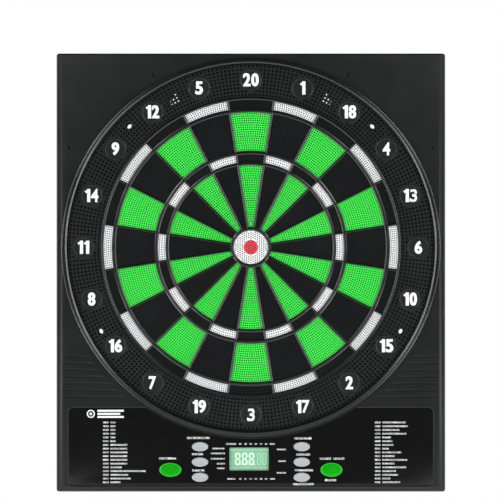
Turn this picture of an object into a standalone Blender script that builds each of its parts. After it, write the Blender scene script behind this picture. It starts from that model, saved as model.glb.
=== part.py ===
"""Electronic dartboard with its scoring console in one flat wall cabinet.

Run with: blender --background --python part.py

The model stands as it hangs: X to the right, Z up, and the back against the wall plane Y = 0.
Heights are given off the wall, towards the player, so a height h lies at Y = -h.
The origin is the middle of the bull's-eye on the flat back of the cabinet.
All sizes below are in millimetres, and MM turns them into metres.
"""
import math

import bmesh
import bpy
from mathutils import Matrix, Vector

MM = 0.001
GAP = 0.3                       # clearance between pieces that touch
OVERLAP = 1.0                   # how far a joined shape reaches into the piece it joins
OVERSHOOT = 5.0                 # how far a cutter runs past the face it cuts

# Cabinet outline, measured from the bull's-eye.
HALF_WIDTH = 221.0
TOP = 220.4
BOTTOM = -277.9
FACE = 28.0                     # height of the flat front off the wall
WALL = 2.6
CORNER_RADIUS = 3.0
FACE_EDGE = 2.4                 # width of the softened edge around the front

# Round opening, its raised rim and the catch ring inside it.
RIM_TOP = 32.0
RIM_CREST = (210.2, 213.2)      # radii of the flat crest
RIM_FOOT = 216.6
RIM_BACK = 26.0
RIM_LIP = 0.8                   # height of the softened inner lip
RIM_SHOULDER = (2.0, 1.1)       # how far out and down the outer slope begins
RIM_DROP = 2.8
PANEL_OPENING_RADIUS = 212.0    # hole in the front face that the rim fills
FLANGE_ROOM_RADIUS = 214.2      # pocket behind the face for the catch ring's flange
OPENING_RADIUS = 209.1
CATCH_RADII = (170.8, 208.7)
CATCH_FACE = 27.4
CATCH_BACK = 24.8
CATCH_FLANGE = (22.9, 25.1)
CATCH_FLANGE_RADIUS = 213.5
CATCH_WALL = 3.0
NUMBER_RING_RADIUS = 190.4
NUMBER_DISC_RADIUS = 12.4
NUMBER_DISC_FACE = 28.0

# Target: scoring zones as (inner radius, outer radius) of the cells in the spider.
SECTORS = 20
SCORE_ORDER = (20, 1, 18, 4, 13, 6, 10, 15, 2, 17, 3, 19, 7, 16, 8, 11, 14, 9, 12, 5)
INNER_SINGLE = (23.3, 93.2)
TREBLE = (97.0, 105.5)
OUTER_SINGLE = (109.7, 153.4)
DOUBLE = (158.0, 167.6)
ZONES = (INNER_SINGLE, TREBLE, OUTER_SINGLE, DOUBLE)
BAR_HALF_WIDTH = 1.25
SPIDER_WEB = (26.2, 28.8)
SPIDER_RIM = (22.7, 29.0)
SPIDER_RADIUS = 170.4
SPIDER_FLANGE_RADIUS = 174.0
SPIDER_FLANGE_TOP = 24.5
SPIDER_RIM_OVERLAP = 0.4
BULL_HOLE_RADIUS = 19.3
SEGMENT_FACE = 27.6
SEGMENT_FLANGE = (24.4, 25.9)
SEGMENT_FLANGE_INNER = 24.0
SEGMENT_RIB_HALF_WIDTH = 1.2
SEGMENT_FLANGE_SIDE = 0.5
SEGMENT_RIB_INSET = 10.0
SEGMENT_RIB_END = 19.5          # the ribs stop 1.3 short of the rubber mat, and travel 1.0
JOIN_DEPTH = 0.7                # how far the pads and legs reach into the flange
BULL_SPLIT_RADIUS = 8.0
BULL_LEGS = 3
BULL_LEG_RADIUS = 2.0
BULL_LEG_CIRCLE = 16.0
BULL_PIN_RADIUS = 2.5
BULL_FLANGE_RADIUS = 22.6
INNER_BULL_FLANGE = (21.8, 23.0)
INNER_BULL_FLANGE_RADIUS = 10.5

# Stack behind the segments.
MAT = (16.2, 18.2)
MEMBRANE = (15.4, 15.9)
BACKING = (12.6, 15.1)
MAT_RADIUS = 172.0
BACKING_RADIUS = 175.0
TAIL_HALF_WIDTH = 14.0
TAIL_END = -232.0

# Console fascia below the target.
CONSOLE_X = 207.5
CONSOLE_Z = (-271.3, -182.5)
CONSOLE_CORNER = 5.7
CONSOLE_ARC = 218.2             # the fascia's top edge follows the rim at this radius
CONSOLE_LEDGE = 24.9
CONSOLE_LEDGE_WIDTH = 3.0
CONSOLE_FRAME_BACK = 22.8
CONSOLE_FRAME_TOP = -179.0
FASCIA = (25.2, 26.9)
LCD_X = (-24.5, 20.3)
LCD_Z = (-254.0, -227.7)
LCD_BORDER = 5.0

# Buttons: ovals given as (x, z, width, height).
START_BUTTON = (91.6, -253.0, 25.6, 16.5)
OPTION_BUTTONS = ((57.8, -226.7, 19.0, 11.0), (57.8, -244.2, 19.0, 11.0), (57.8, -261.5, 19.0, 11.0))
BUTTON_TOP = 28.8
BUTTON_SHOULDER = 28.0
BUTTON_FLANGE = (23.9, 24.9)
BUTTON_FLANGE_WIDTH = 1.3
BUTTON_STEM_END = 22.2
BUTTON_STEM_RADIUS = 3.0
BUTTON_CROWN_INSET = 1.6
KEYPAD = (19.8, 20.7)
KEYPAD_X = (44.0, 107.0)
BOARD = (17.9, 19.5)
BOARD_HALF_WIDTH = 108.0
BOARD_Z = (-270.0, -217.0)
CHIP_X = (-70.0, -46.0)
CHIP_Z = (-254.0, -230.0)
CHIP_THICKNESS = 2.2

# Grille slots in the two lower corners, and the speaker behind the left ones.
SLOT_COUNT = 7
SLOT_TOP = -124.1
SLOT_PITCH = 7.67
SLOT_HEIGHT = 2.4
SLOT_OUTER_X = 212.4
SLOT_ARC = 223.0
SPEAKER_CENTRE = (-190.0, -148.0)
SPEAKER_RADIUS = 20.0
SPEAKER_BACK = 11.1

# Fixings.
WALL_SCREWS = ((138.8, 138.2), (171.2, -96.0))
WALL_SCREW_RADIUS = 3.2
SLEEVE_RADIUS = 5.6
SLEEVE_BACK = 13.5
KEYHOLE = (87.5, 168.0)
KEYHOLE_HEAD_RADIUS = 5.0
KEYHOLE_SLOT_RADIUS = 2.6
KEYHOLE_RISE = 10.0
CASE_SCREWS = ((207.0, 206.0), (209.0, -172.0), (125.0, -270.0))
BOSS_RADIUS = 4.2
BOSS_BORE_RADIUS = 1.9
BOSS_BORE = (1.0, 16.0)
SCREW_HEAD = (0.4, 1.6)
SCREW_HEAD_RADIUS = 3.0
SCREW_SHANK_RADIUS = 1.4
SCREW_END = 13.0
CORNER_PITS = ((110.4, 196.6), (206.8, 114.4))
CORNER_PIT_RADIUS = 2.6
CORNER_PIT_FLOOR = 26.4

# Back cover and battery bay.
COVER = 3.0
COVER_GAP = 0.5
POST_START = COVER + GAP
SUPPORT_RING = (140.0, 142.4)
BAY_X = (117.0, 179.0)
BAY_Z = (-262.5, -214.5)
BAY_FLOOR = 18.0
BAY_WALL = 1.8
DOOR_X = (116.0, 180.0)
DOOR_Z = (-263.5, -213.5)
DOOR_THICKNESS = 2.0
CELL_LENGTH = 50.5
CELL_RADIUS = 7.1
CELL_PITCH = 15.6
CELL_HEIGHT = 10.3
CELL_NUB_RADIUS = 2.6
CELL_NUB_REACH = 2.0
CELL_SHORTFALL = 1.2            # the jacket is this much shorter than the whole cell
CONTACT_THICKNESS = 0.8
CONTACT_HALF_HEIGHT = 6.0
CONTACT_INSET = 1.5

# Power inlet in the bottom wall.
JACK_CENTRE = (-160.0, 12.0)    # x and height off the wall
JACK_NOSE_RADIUS = 3.9
JACK_BORE_RADIUS = 3.0
JACK_PIN_RADIUS = 1.0
JACK_BODY_HALF = 5.5
JACK_BODY_Z = (-275.0, -262.0)
JACK_NOSE_END = -277.5
JACK_BORE_TOP = -267.0

RING_STEPS = 60
SECTOR_STEPS = 40
BULL_STEPS = 20
SMALL_STEPS = 16
NUMBER_DISC_STEPS = 12
OVAL_STEPS = 16
STEM_STEPS = 8
BOSS_STEPS = 12
BULL_LEG_STEPS = 6
SMOOTH_ANGLE = math.radians(35.0)

TURN_TO_FRONT = Matrix.Rotation(math.radians(90.0), 4, "X")


def clear_scene():
    """Remove every object that the file starts with."""
    for item in list(bpy.data.objects):
        bpy.data.objects.remove(item, do_unlink=True)


def new_collection(name):
    """Add a collection to the scene."""
    group = bpy.data.collections.new(name)
    bpy.context.scene.collection.children.link(group)
    return group


def new_material(name, colour, roughness, metallic=0.0, alpha=1.0):
    """Make a Principled material from its colour, roughness and metallic value."""
    finish = bpy.data.materials.new(name)
    finish.use_nodes = True
    shader = finish.node_tree.nodes["Principled BSDF"]
    shader.inputs["Base Color"].default_value = (*colour, 1.0)
    shader.inputs["Roughness"].default_value = roughness
    shader.inputs["Metallic"].default_value = metallic
    shader.inputs["Alpha"].default_value = alpha
    finish.diffuse_color = (*colour, alpha)
    return finish


clear_scene()
PARTS = new_collection("electronic_dartboard")
TOOLS = new_collection("cutters")


def place(name, mesh, group, matrix):
    """Link a mesh as a new object in a collection."""
    item = bpy.data.objects.new(name, mesh)
    group.objects.link(item)
    item.matrix_world = matrix
    if group is TOOLS:
        item.hide_render = True
        item.display_type = "WIRE"
    return item


def centre_matrix(x, h, z):
    """Place local XY in the front view's plane, with local Z towards the player."""
    return Matrix.Translation(Vector((x, -h, z)) * MM) @ TURN_TO_FRONT


def block(name, x, h, z, group=TOOLS, corner=0.0, face_edge=0.0):
    """Box between two corners, with optional round corners and a softened front edge."""
    size = Vector((x[1] - x[0], z[1] - z[0], h[1] - h[0])) * MM
    shape = bmesh.new()
    bmesh.ops.create_cube(shape, size=1.0, matrix=Matrix.Diagonal((*size, 1.0)))
    if corner:
        upright = [e for e in shape.edges if abs(e.verts[0].co.z - e.verts[1].co.z) > MM]
        bmesh.ops.bevel(shape, geom=upright, offset=corner * MM, segments=3, profile=0.5, affect="EDGES")
    if face_edge:
        front = [e for e in shape.edges if min(v.co.z for v in e.verts) > 0.49 * size.z]
        bmesh.ops.bevel(shape, geom=front, offset=face_edge * MM, segments=2, profile=0.5, affect="EDGES")
    mesh = bpy.data.meshes.new(name)
    shape.to_mesh(mesh)
    shape.free()
    middle = centre_matrix(sum(x) / 2, sum(h) / 2, sum(z) / 2)
    return place(name, mesh, group, middle)


def disc(name, radii, h, centre=(0.0, 0.0), group=TOOLS, steps=SMALL_STEPS, offset=0.0):
    """Round or oval cylinder that stands off the wall, given its two half widths.

    An offset in steps keeps its corners clear of another round piece's corners.
    """
    shape = bmesh.new()
    stretch = Matrix.Diagonal((radii[0] * MM, radii[1] * MM, 1.0, 1.0))
    stretch = stretch @ Matrix.Rotation(offset * 2 * math.pi / steps, 4, "Z")
    bmesh.ops.create_cone(shape, cap_ends=True, segments=steps, radius1=1.0, radius2=1.0,
                          depth=(h[1] - h[0]) * MM, matrix=stretch)
    mesh = bpy.data.meshes.new(name)
    shape.to_mesh(mesh)
    shape.free()
    return place(name, mesh, group, centre_matrix(centre[0], sum(h) / 2, centre[1]))


def turned(name, profile, centre=(0.0, 0.0), group=TOOLS, steps=RING_STEPS, closed=True):
    """Turned shape from (radius, height) points, which run down its outer side."""
    mesh = bpy.data.meshes.new(name)
    points = [(r * MM, 0.0, h * MM) for r, h in profile]
    edges = [(i, i + 1) for i in range(len(points) - 1)]
    if closed:
        edges.append((len(points) - 1, 0))
    mesh.from_pydata(points, edges, [])
    item = place(name, mesh, group, centre_matrix(centre[0], 0.0, centre[1]))
    screw = item.modifiers.new("turn", "SCREW")
    screw.steps = steps
    screw.render_steps = steps
    screw.use_merge_vertices = True
    screw.merge_threshold = 0.00001
    screw.use_smooth_shade = False
    return item


def flat_plate(name, outlines, h, group=TOOLS):
    """Flat plate from closed outlines in the front view; outlines inside others are holes."""
    curve = bpy.data.curves.new(name, "CURVE")
    curve.dimensions = "2D"
    curve.fill_mode = "BOTH"
    curve.extrude = (h[1] - h[0]) / 2 * MM
    for outline in outlines:
        spline = curve.splines.new("POLY")
        spline.points.add(len(outline) - 1)
        for point, (x, z) in zip(spline.points, outline):
            point.co = (x * MM, z * MM, 0.0, 1.0)
        spline.use_cyclic_u = True
    drawn = place(name + "_outline", curve, group, centre_matrix(0.0, sum(h) / 2, 0.0))
    bpy.context.view_layer.update()
    mesh = bpy.data.meshes.new_from_object(drawn.evaluated_get(bpy.context.evaluated_depsgraph_get()))
    shape = bmesh.new()
    shape.from_mesh(mesh)
    bmesh.ops.remove_doubles(shape, verts=shape.verts, dist=0.00001)
    bmesh.ops.recalc_face_normals(shape, faces=shape.faces)
    shape.to_mesh(mesh)
    shape.free()
    item = place(name, mesh, group, drawn.matrix_world.copy())
    bpy.data.objects.remove(drawn, do_unlink=True)
    return item


def combine(target, tool, operation):
    """Join a tool to a piece, or cut the piece with it."""
    step = target.modifiers.new(tool.name, "BOOLEAN")
    step.operation = operation
    step.object = tool


def cut(target, *tools):
    """Cut each tool out of a piece."""
    for tool in tools:
        combine(target, tool, "DIFFERENCE")


def add(target, *tools):
    """Join each tool to a piece."""
    for tool in tools:
        combine(target, tool, "UNION")


def baked(item):
    """The finished mesh of an object, with its modifiers applied."""
    bpy.context.view_layer.update()
    mesh = bpy.data.meshes.new_from_object(item.evaluated_get(bpy.context.evaluated_depsgraph_get()))
    return mesh


def finish(item, material, smooth=False):
    """Give a piece its material, and smooth shading where it is round."""
    item.data.materials.clear()
    item.data.materials.append(material)
    if smooth:
        item.data.shade_smooth()
        item.data.set_sharp_from_angle(angle=SMOOTH_ANGLE)
    return item


def mirrored(points):
    """The same places on the right and on the left."""
    return [(side * x, z) for x, z in points for side in (1, -1)]


def polar(radius, angle):
    """Point at a radius and a clockwise angle from the top, in the front view."""
    return (radius * math.sin(angle), radius * math.cos(angle))


def sector_outline(inner, outer, side_offset):
    """Cell of one sector at the top: two arcs, and sides parallel to the sector's edges."""
    half = math.pi / SECTORS
    outline = []
    for radius, turn in ((inner, 1), (outer, -1)):
        reach = half - math.asin(side_offset / radius)
        outline += [polar(radius, turn * step * reach) for step in (-1, 0, 1)]
    return outline


def turn_outline(outline, angle):
    """Outline turned clockwise about the bull's-eye."""
    cosine, sine = math.cos(angle), math.sin(angle)
    return [(x * cosine + z * sine, z * cosine - x * sine) for x, z in outline]


def circle(radius, steps, centre=(0.0, 0.0)):
    """Circle as an outline of points."""
    turns = [2 * math.pi * i / steps for i in range(steps)]
    return [(centre[0] + radius * math.sin(a), centre[1] + radius * math.cos(a)) for a in turns]


ABS_BLACK = new_material("matte_black_abs", (0.022, 0.023, 0.025), 0.55)
FASCIA_BLACK = new_material("gloss_black_fascia", (0.006, 0.006, 0.006), 0.12)
SEGMENT_GREEN = new_material("green_polypropylene", (0.05, 0.60, 0.05), 0.40)
SEGMENT_BLACK = new_material("black_polypropylene", (0.012, 0.013, 0.014), 0.45)
SEGMENT_RED = new_material("red_polypropylene", (0.58, 0.04, 0.05), 0.40)
SEGMENT_WHITE = new_material("white_polypropylene", (0.70, 0.72, 0.73), 0.40)
BUTTON_GREEN = new_material("green_button", (0.004, 0.40, 0.005), 0.30)
BUTTON_GREY = new_material("grey_button", (0.58, 0.61, 0.64), 0.35)
CLEAR_LENS = new_material("clear_acrylic", (0.80, 0.90, 0.85), 0.05, alpha=0.4)
LCD_GLASS = new_material("green_lcd_glass", (0.16, 0.46, 0.24), 0.15)
RUBBER = new_material("black_rubber", (0.02, 0.02, 0.02), 0.85)
SILICONE = new_material("grey_silicone", (0.30, 0.30, 0.31), 0.70)
FILM = new_material("silver_printed_film", (0.55, 0.56, 0.58), 0.35)
BOARD_GREEN = new_material("green_circuit_board", (0.02, 0.14, 0.06), 0.40)
STEEL = new_material("zinc_plated_steel", (0.60, 0.61, 0.62), 0.30, metallic=1.0)
SPEAKER_STEEL = new_material("speaker_steel", (0.18, 0.18, 0.19), 0.40, metallic=1.0)
CELL_JACKET = new_material("cell_jacket", (0.05, 0.09, 0.22), 0.30)


def console_shape(name, inset, h, arc, group=TOOLS):
    """Console outline: a rounded box whose top edge gives way to the round rim."""
    x = CONSOLE_X - inset
    z = (CONSOLE_Z[0] + inset, CONSOLE_Z[1] - inset)
    shape = block(name, (-x, x), h, z, group, corner=CONSOLE_CORNER - inset * 0.5)
    arc_height = (h[0] - 1.0, h[1] + 1.0)
    cut(shape, disc(name + "_arc", (arc, arc), arc_height, steps=RING_STEPS))
    return shape


def make_front_housing():
    """Moulded front shell with the round opening, console frame, grilles and bosses."""
    shell = block("front_housing", (-HALF_WIDTH, HALF_WIDTH), (0.0, FACE), (BOTTOM, TOP), PARTS,
                  corner=CORNER_RADIUS, face_edge=FACE_EDGE)
    inside = HALF_WIDTH - WALL
    main_back = FACE - WALL
    cut(shell,
        block("upper_cavity", (-inside, inside), (-OVERSHOOT, main_back), (CONSOLE_FRAME_TOP, TOP - WALL)),
        block("lower_cavity", (-inside, inside), (-OVERSHOOT, CONSOLE_FRAME_BACK),
              (BOTTOM + WALL, CONSOLE_FRAME_TOP + OVERLAP)),
        disc("flange_room", (FLANGE_ROOM_RADIUS,) * 2, (-OVERSHOOT, main_back + 0.2), steps=RING_STEPS,
             offset=0.5))
    cut(shell, disc("panel_opening", (PANEL_OPENING_RADIUS,) * 2, (-OVERSHOOT, RIM_TOP),
                    steps=RING_STEPS, offset=0.5))
    out, down = RIM_SHOULDER
    rim_profile = [(RIM_CREST[1], RIM_TOP), (RIM_CREST[1] + out, RIM_TOP - down),
                   (RIM_FOOT - 0.2, RIM_TOP - RIM_DROP), (RIM_FOOT, RIM_BACK), (OPENING_RADIUS, RIM_BACK),
                   (OPENING_RADIUS, RIM_TOP - RIM_LIP), (RIM_CREST[0], RIM_TOP)]
    add(shell, turned("rim", rim_profile))
    for index, centre in enumerate(mirrored(CASE_SCREWS)):
        add(shell, disc(f"boss_{index}", (BOSS_RADIUS,) * 2, (POST_START, main_back + OVERLAP), centre,
                        steps=BOSS_STEPS))
        cut(shell, disc(f"boss_bore_{index}", (BOSS_BORE_RADIUS,) * 2, BOSS_BORE, centre,
                        steps=BOSS_STEPS))
    cut(shell,
        console_shape("console_recess", 0.0, (CONSOLE_LEDGE, FACE + OVERSHOOT), CONSOLE_ARC),
        console_shape("console_window", CONSOLE_LEDGE_WIDTH, (CONSOLE_FRAME_BACK - OVERSHOOT, FACE),
                      CONSOLE_ARC + CONSOLE_LEDGE_WIDTH + GAP))
    for row in range(SLOT_COUNT):
        z = SLOT_TOP - row * SLOT_PITCH
        inner_x = math.sqrt(SLOT_ARC ** 2 - z ** 2)
        for side in (1, -1):
            span = sorted((side * inner_x, side * SLOT_OUTER_X))
            cut(shell, block(f"slot_{row}_{side}", span, (FACE - OVERSHOOT, FACE + OVERSHOOT),
                             (z - SLOT_HEIGHT / 2, z + SLOT_HEIGHT / 2)))
    for index, centre in enumerate(mirrored(CORNER_PITS)):
        cut(shell, disc(f"pit_{index}", (CORNER_PIT_RADIUS,) * 2, (CORNER_PIT_FLOOR, FACE + OVERSHOOT),
                        centre))
    jack_hole = disc("jack_hole", (JACK_NOSE_RADIUS + GAP,) * 2, (-OVERSHOOT, OVERSHOOT))
    jack_hole.matrix_world = Matrix.Translation(Vector((JACK_CENTRE[0], -JACK_CENTRE[1], BOTTOM)) * MM)
    cut(shell, jack_hole)
    return finish(shell, ABS_BLACK)


def make_catch_ring():
    """Ring around the target that catches stray darts and carries the numbers."""
    inner, outer = CATCH_RADII
    profile = [(outer, CATCH_FACE), (outer, CATCH_FLANGE[1]), (CATCH_FLANGE_RADIUS, CATCH_FLANGE[1]),
               (CATCH_FLANGE_RADIUS, CATCH_FLANGE[0]), (outer - CATCH_WALL, CATCH_FLANGE[0]),
               (outer - CATCH_WALL, CATCH_BACK), (inner, CATCH_BACK), (inner, CATCH_FACE)]
    ring = turned("catch_ring", profile, group=PARTS)
    for index in range(SECTORS):
        centre = polar(NUMBER_RING_RADIUS, 2 * math.pi * index / SECTORS)
        add(ring, disc(f"number_disc_{index}", (NUMBER_DISC_RADIUS,) * 2,
                       (CATCH_BACK + OVERLAP, NUMBER_DISC_FACE), centre, steps=NUMBER_DISC_STEPS,
                       offset=0.37))
    for index, centre in enumerate(mirrored(WALL_SCREWS)):
        add(ring, disc(f"sleeve_{index}", (SLEEVE_RADIUS,) * 2, (SLEEVE_BACK, CATCH_FACE - OVERLAP), centre))
        cut(ring, disc(f"sleeve_bore_{index}", (WALL_SCREW_RADIUS,) * 2, (0.0, RIM_TOP), centre))
    return finish(ring, ABS_BLACK)


def make_spider():
    """Web of thin bars that divides the target into its cells."""
    web_radius = (DOUBLE[1] + SPIDER_RADIUS) / 2
    outlines = [circle(web_radius, SECTOR_STEPS), circle(BULL_HOLE_RADIUS, BULL_STEPS)]
    for index in range(SECTORS):
        for inner, outer in ZONES:
            reach = outer + (SPIDER_RIM_OVERLAP if outer == DOUBLE[1] else 0.0)
            cell = sector_outline(inner, reach, BAR_HALF_WIDTH)
            outlines.append(turn_outline(cell, 2 * math.pi * index / SECTORS))
    web = flat_plate("spider", outlines, SPIDER_WEB, PARTS)
    rim_profile = [(SPIDER_RADIUS, SPIDER_RIM[1]), (SPIDER_RADIUS, SPIDER_FLANGE_TOP),
                   (SPIDER_FLANGE_RADIUS, SPIDER_FLANGE_TOP), (SPIDER_FLANGE_RADIUS, SPIDER_RIM[0]),
                   (DOUBLE[1], SPIDER_RIM[0]), (DOUBLE[1], SPIDER_RIM[1])]
    add(web, turned("spider_rim", rim_profile, steps=SECTOR_STEPS))
    return finish(web, ABS_BLACK)


def make_segments():
    """One moving piece for each number: its double, two singles and treble on a hidden flange."""
    flange_outline = sector_outline(SEGMENT_FLANGE_INNER, DOUBLE[1] - GAP, SEGMENT_FLANGE_SIDE)
    pattern = flat_plate("segment_pattern", [flange_outline], SEGMENT_FLANGE)
    for index, (inner, outer) in enumerate(ZONES):
        pad = sector_outline(inner + GAP, outer - GAP, BAR_HALF_WIDTH + GAP)
        add(pattern, flat_plate(f"pad_{index}", [pad], (SEGMENT_FLANGE[0] + JOIN_DEPTH, SEGMENT_FACE)))
    add(pattern, block("segment_rib", (-SEGMENT_RIB_HALF_WIDTH, SEGMENT_RIB_HALF_WIDTH),
                       (SEGMENT_RIB_END, SEGMENT_FLANGE[1] - JOIN_DEPTH),
                       (INNER_SINGLE[0] + SEGMENT_RIB_INSET, DOUBLE[1] - SEGMENT_RIB_INSET)))
    mesh = baked(pattern)
    for index, score in enumerate(SCORE_ORDER):
        own_mesh = mesh.copy()
        turn = Matrix.Rotation(2 * math.pi * index / SECTORS, 4, "Y")
        item = place(f"segment_{score:02d}", own_mesh, PARTS, turn @ pattern.matrix_world)
        finish(item, SEGMENT_BLACK if index % 2 else SEGMENT_GREEN)


def make_bulls():
    """The two bull segments: a white ring and the red middle."""
    split = BULL_SPLIT_RADIUS
    edge = BULL_HOLE_RADIUS - GAP
    outer_profile = [(edge, SEGMENT_FACE), (edge, SEGMENT_FLANGE[1]),
                     (BULL_FLANGE_RADIUS, SEGMENT_FLANGE[1]), (BULL_FLANGE_RADIUS, SEGMENT_FLANGE[0]),
                     (split + GAP, SEGMENT_FLANGE[0]), (split + GAP, SEGMENT_FACE)]
    outer = turned("bull_outer", outer_profile, group=PARTS, steps=BULL_STEPS)
    leg_height = (SEGMENT_RIB_END, SEGMENT_FLANGE[0] + JOIN_DEPTH)
    for index in range(BULL_LEGS):
        centre = polar(BULL_LEG_CIRCLE, 2 * math.pi * index / BULL_LEGS)
        add(outer, disc(f"bull_leg_{index}", (BULL_LEG_RADIUS,) * 2, leg_height, centre,
                        steps=BULL_LEG_STEPS, offset=0.2))
    finish(outer, SEGMENT_WHITE, smooth=True)
    flange_low, flange_high = INNER_BULL_FLANGE
    inner_profile = [(0.0, SEGMENT_FACE), (split, SEGMENT_FACE), (split, flange_high),
                     (INNER_BULL_FLANGE_RADIUS, flange_high), (INNER_BULL_FLANGE_RADIUS, flange_low),
                     (BULL_PIN_RADIUS, flange_low), (BULL_PIN_RADIUS, SEGMENT_RIB_END),
                     (0.0, SEGMENT_RIB_END)]
    inner = turned("bull_inner", inner_profile, group=PARTS, steps=BULL_STEPS, closed=False)
    finish(inner, SEGMENT_RED, smooth=True)


def make_sensor_stack():
    """Rubber mat, switch membrane with its tail, and the rigid backing plate."""
    mat = disc("rubber_mat", (MAT_RADIUS,) * 2, MAT, group=PARTS, steps=SECTOR_STEPS)
    finish(mat, RUBBER)
    membrane = disc("sensor_membrane", (MAT_RADIUS,) * 2, MEMBRANE, group=PARTS, steps=SECTOR_STEPS)
    add(membrane, block("tail", (-TAIL_HALF_WIDTH, TAIL_HALF_WIDTH), MEMBRANE, (TAIL_END, 0.0)))
    finish(membrane, FILM)
    backing = disc("backing_plate", (BACKING_RADIUS,) * 2, BACKING, group=PARTS, steps=SECTOR_STEPS)
    finish(backing, ABS_BLACK)


def make_fascia():
    """Glossy console plate with the button holes and the display window."""
    plate = console_shape("console_fascia", GAP, FASCIA, CONSOLE_ARC + GAP, PARTS)
    cut_height = (FASCIA[0] - OVERSHOOT, FASCIA[1] + OVERSHOOT)
    for index, (x, z, width, height) in enumerate((START_BUTTON, *OPTION_BUTTONS)):
        for side in (1, -1):
            cut(plate, disc(f"button_hole_{index}_{side}", (width / 2, height / 2), cut_height, (side * x, z),
                            steps=OVAL_STEPS))
    cut(plate, block("lcd_window", LCD_X, cut_height, LCD_Z))
    return finish(plate, FASCIA_BLACK)


def crown(button, inset, rise):
    """Raise the middle of a button's front face into a low dome."""
    shape = bmesh.new()
    shape.from_mesh(button.data)
    front = max(shape.faces, key=lambda face: face.calc_center_median().z)
    bmesh.ops.inset_region(shape, faces=[front], thickness=inset * MM, depth=0.0)
    bmesh.ops.translate(shape, verts=front.verts, vec=(0.0, 0.0, rise * MM))
    shape.to_mesh(button.data)
    shape.free()


def make_button(name, x, z, width, height, material):
    """Oval push button: a low dome, a flange behind the fascia and a stem to the keypad."""
    cap = (width / 2 - GAP, height / 2 - GAP)
    flange = (width / 2 + BUTTON_FLANGE_WIDTH, height / 2 + BUTTON_FLANGE_WIDTH)
    join_height = sum(BUTTON_FLANGE) / 2
    button = disc(name, cap, (join_height, BUTTON_SHOULDER), (x, z), PARTS, steps=OVAL_STEPS)
    crown(button, BUTTON_CROWN_INSET, BUTTON_TOP - BUTTON_SHOULDER)
    add(button,
        disc(name + "_flange", flange, BUTTON_FLANGE, (x, z), steps=OVAL_STEPS),
        disc(name + "_stem", (BUTTON_STEM_RADIUS,) * 2, (BUTTON_STEM_END, join_height), (x, z),
             steps=STEM_STEPS))
    return finish(button, material)


def make_buttons():
    """Two green start buttons outside, and three grey option buttons each side of the display."""
    rows = ("top", "middle", "bottom")
    for side, word in ((-1, "left"), (1, "right")):
        x, z, width, height = START_BUTTON
        make_button(f"start_button_{word}", side * x, z, width, height, BUTTON_GREEN)
        for row, (x, z, width, height) in zip(rows, OPTION_BUTTONS):
            make_button(f"option_button_{word}_{row}", side * x, z, width, height, BUTTON_GREY)


def make_electronics():
    """Display, keypads, main board, speaker and power inlet."""
    lens = block("lcd_lens", (LCD_X[0] + GAP, LCD_X[1] - GAP), (FASCIA[0] + GAP, FASCIA[1]),
                 (LCD_Z[0] + GAP, LCD_Z[1] - GAP), PARTS)
    finish(lens, CLEAR_LENS)
    display = block("lcd_module", (LCD_X[0] - LCD_BORDER, LCD_X[1] + LCD_BORDER),
                    (BOARD[1] + GAP, FASCIA[0] - GAP), (LCD_Z[0] - LCD_BORDER, LCD_Z[1] + LCD_BORDER), PARTS)
    finish(display, LCD_GLASS)
    for side, word in ((-1, "left"), (1, "right")):
        span = sorted((side * KEYPAD_X[0], side * KEYPAD_X[1]))
        pad = block(f"keypad_{word}", span, KEYPAD, (BOARD_Z[0], BOARD_Z[1] + 1.0), PARTS)
        finish(pad, SILICONE)
    board = block("main_board", (-BOARD_HALF_WIDTH, BOARD_HALF_WIDTH), BOARD, BOARD_Z, PARTS)
    connector_width = TAIL_HALF_WIDTH + 2.0
    middle = sum(BOARD) / 2
    add(board, block("tail_connector", (-connector_width, connector_width), (MEMBRANE[1] + GAP, middle),
                     (TAIL_END - 4.0, TAIL_END + 4.0)))
    add(board, block("controller_chip", CHIP_X, (BOARD[0] - CHIP_THICKNESS, middle), CHIP_Z))
    finish(board, BOARD_GREEN)
    front = FACE - WALL - GAP
    speaker_profile = [(0.0, front - 3.0), (6.0, front - 4.0), (17.0, front - 0.6), (18.0, front),
                       (SPEAKER_RADIUS, front), (SPEAKER_RADIUS, front - 2.0), (12.0, front - 8.0),
                       (12.0, SPEAKER_BACK), (0.0, SPEAKER_BACK)]
    speaker = turned("speaker", speaker_profile, SPEAKER_CENTRE, PARTS, steps=24, closed=False)
    finish(speaker, SPEAKER_STEEL, smooth=True)
    x, h = JACK_CENTRE
    half = JACK_BODY_HALF
    jack = block("power_jack", (x - half, x + half), (h - half, h + half), JACK_BODY_Z, PARTS)
    upright = {"nose": (JACK_NOSE_RADIUS, (JACK_NOSE_END, JACK_BODY_Z[0] + OVERLAP)),
               "bore": (JACK_BORE_RADIUS, (JACK_NOSE_END - OVERSHOOT, JACK_BORE_TOP)),
               "pin": (JACK_PIN_RADIUS, (JACK_NOSE_END + 1.0, JACK_BORE_TOP + OVERLAP))}
    for key, (radius, z) in upright.items():
        tool = disc("jack_" + key, (radius,) * 2, (0.0, z[1] - z[0]))
        tool.matrix_world = Matrix.Translation(Vector((x, -h, sum(z) / 2)) * MM)
        combine(jack, tool, "DIFFERENCE" if key == "bore" else "UNION")
    finish(jack, ABS_BLACK)


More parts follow.
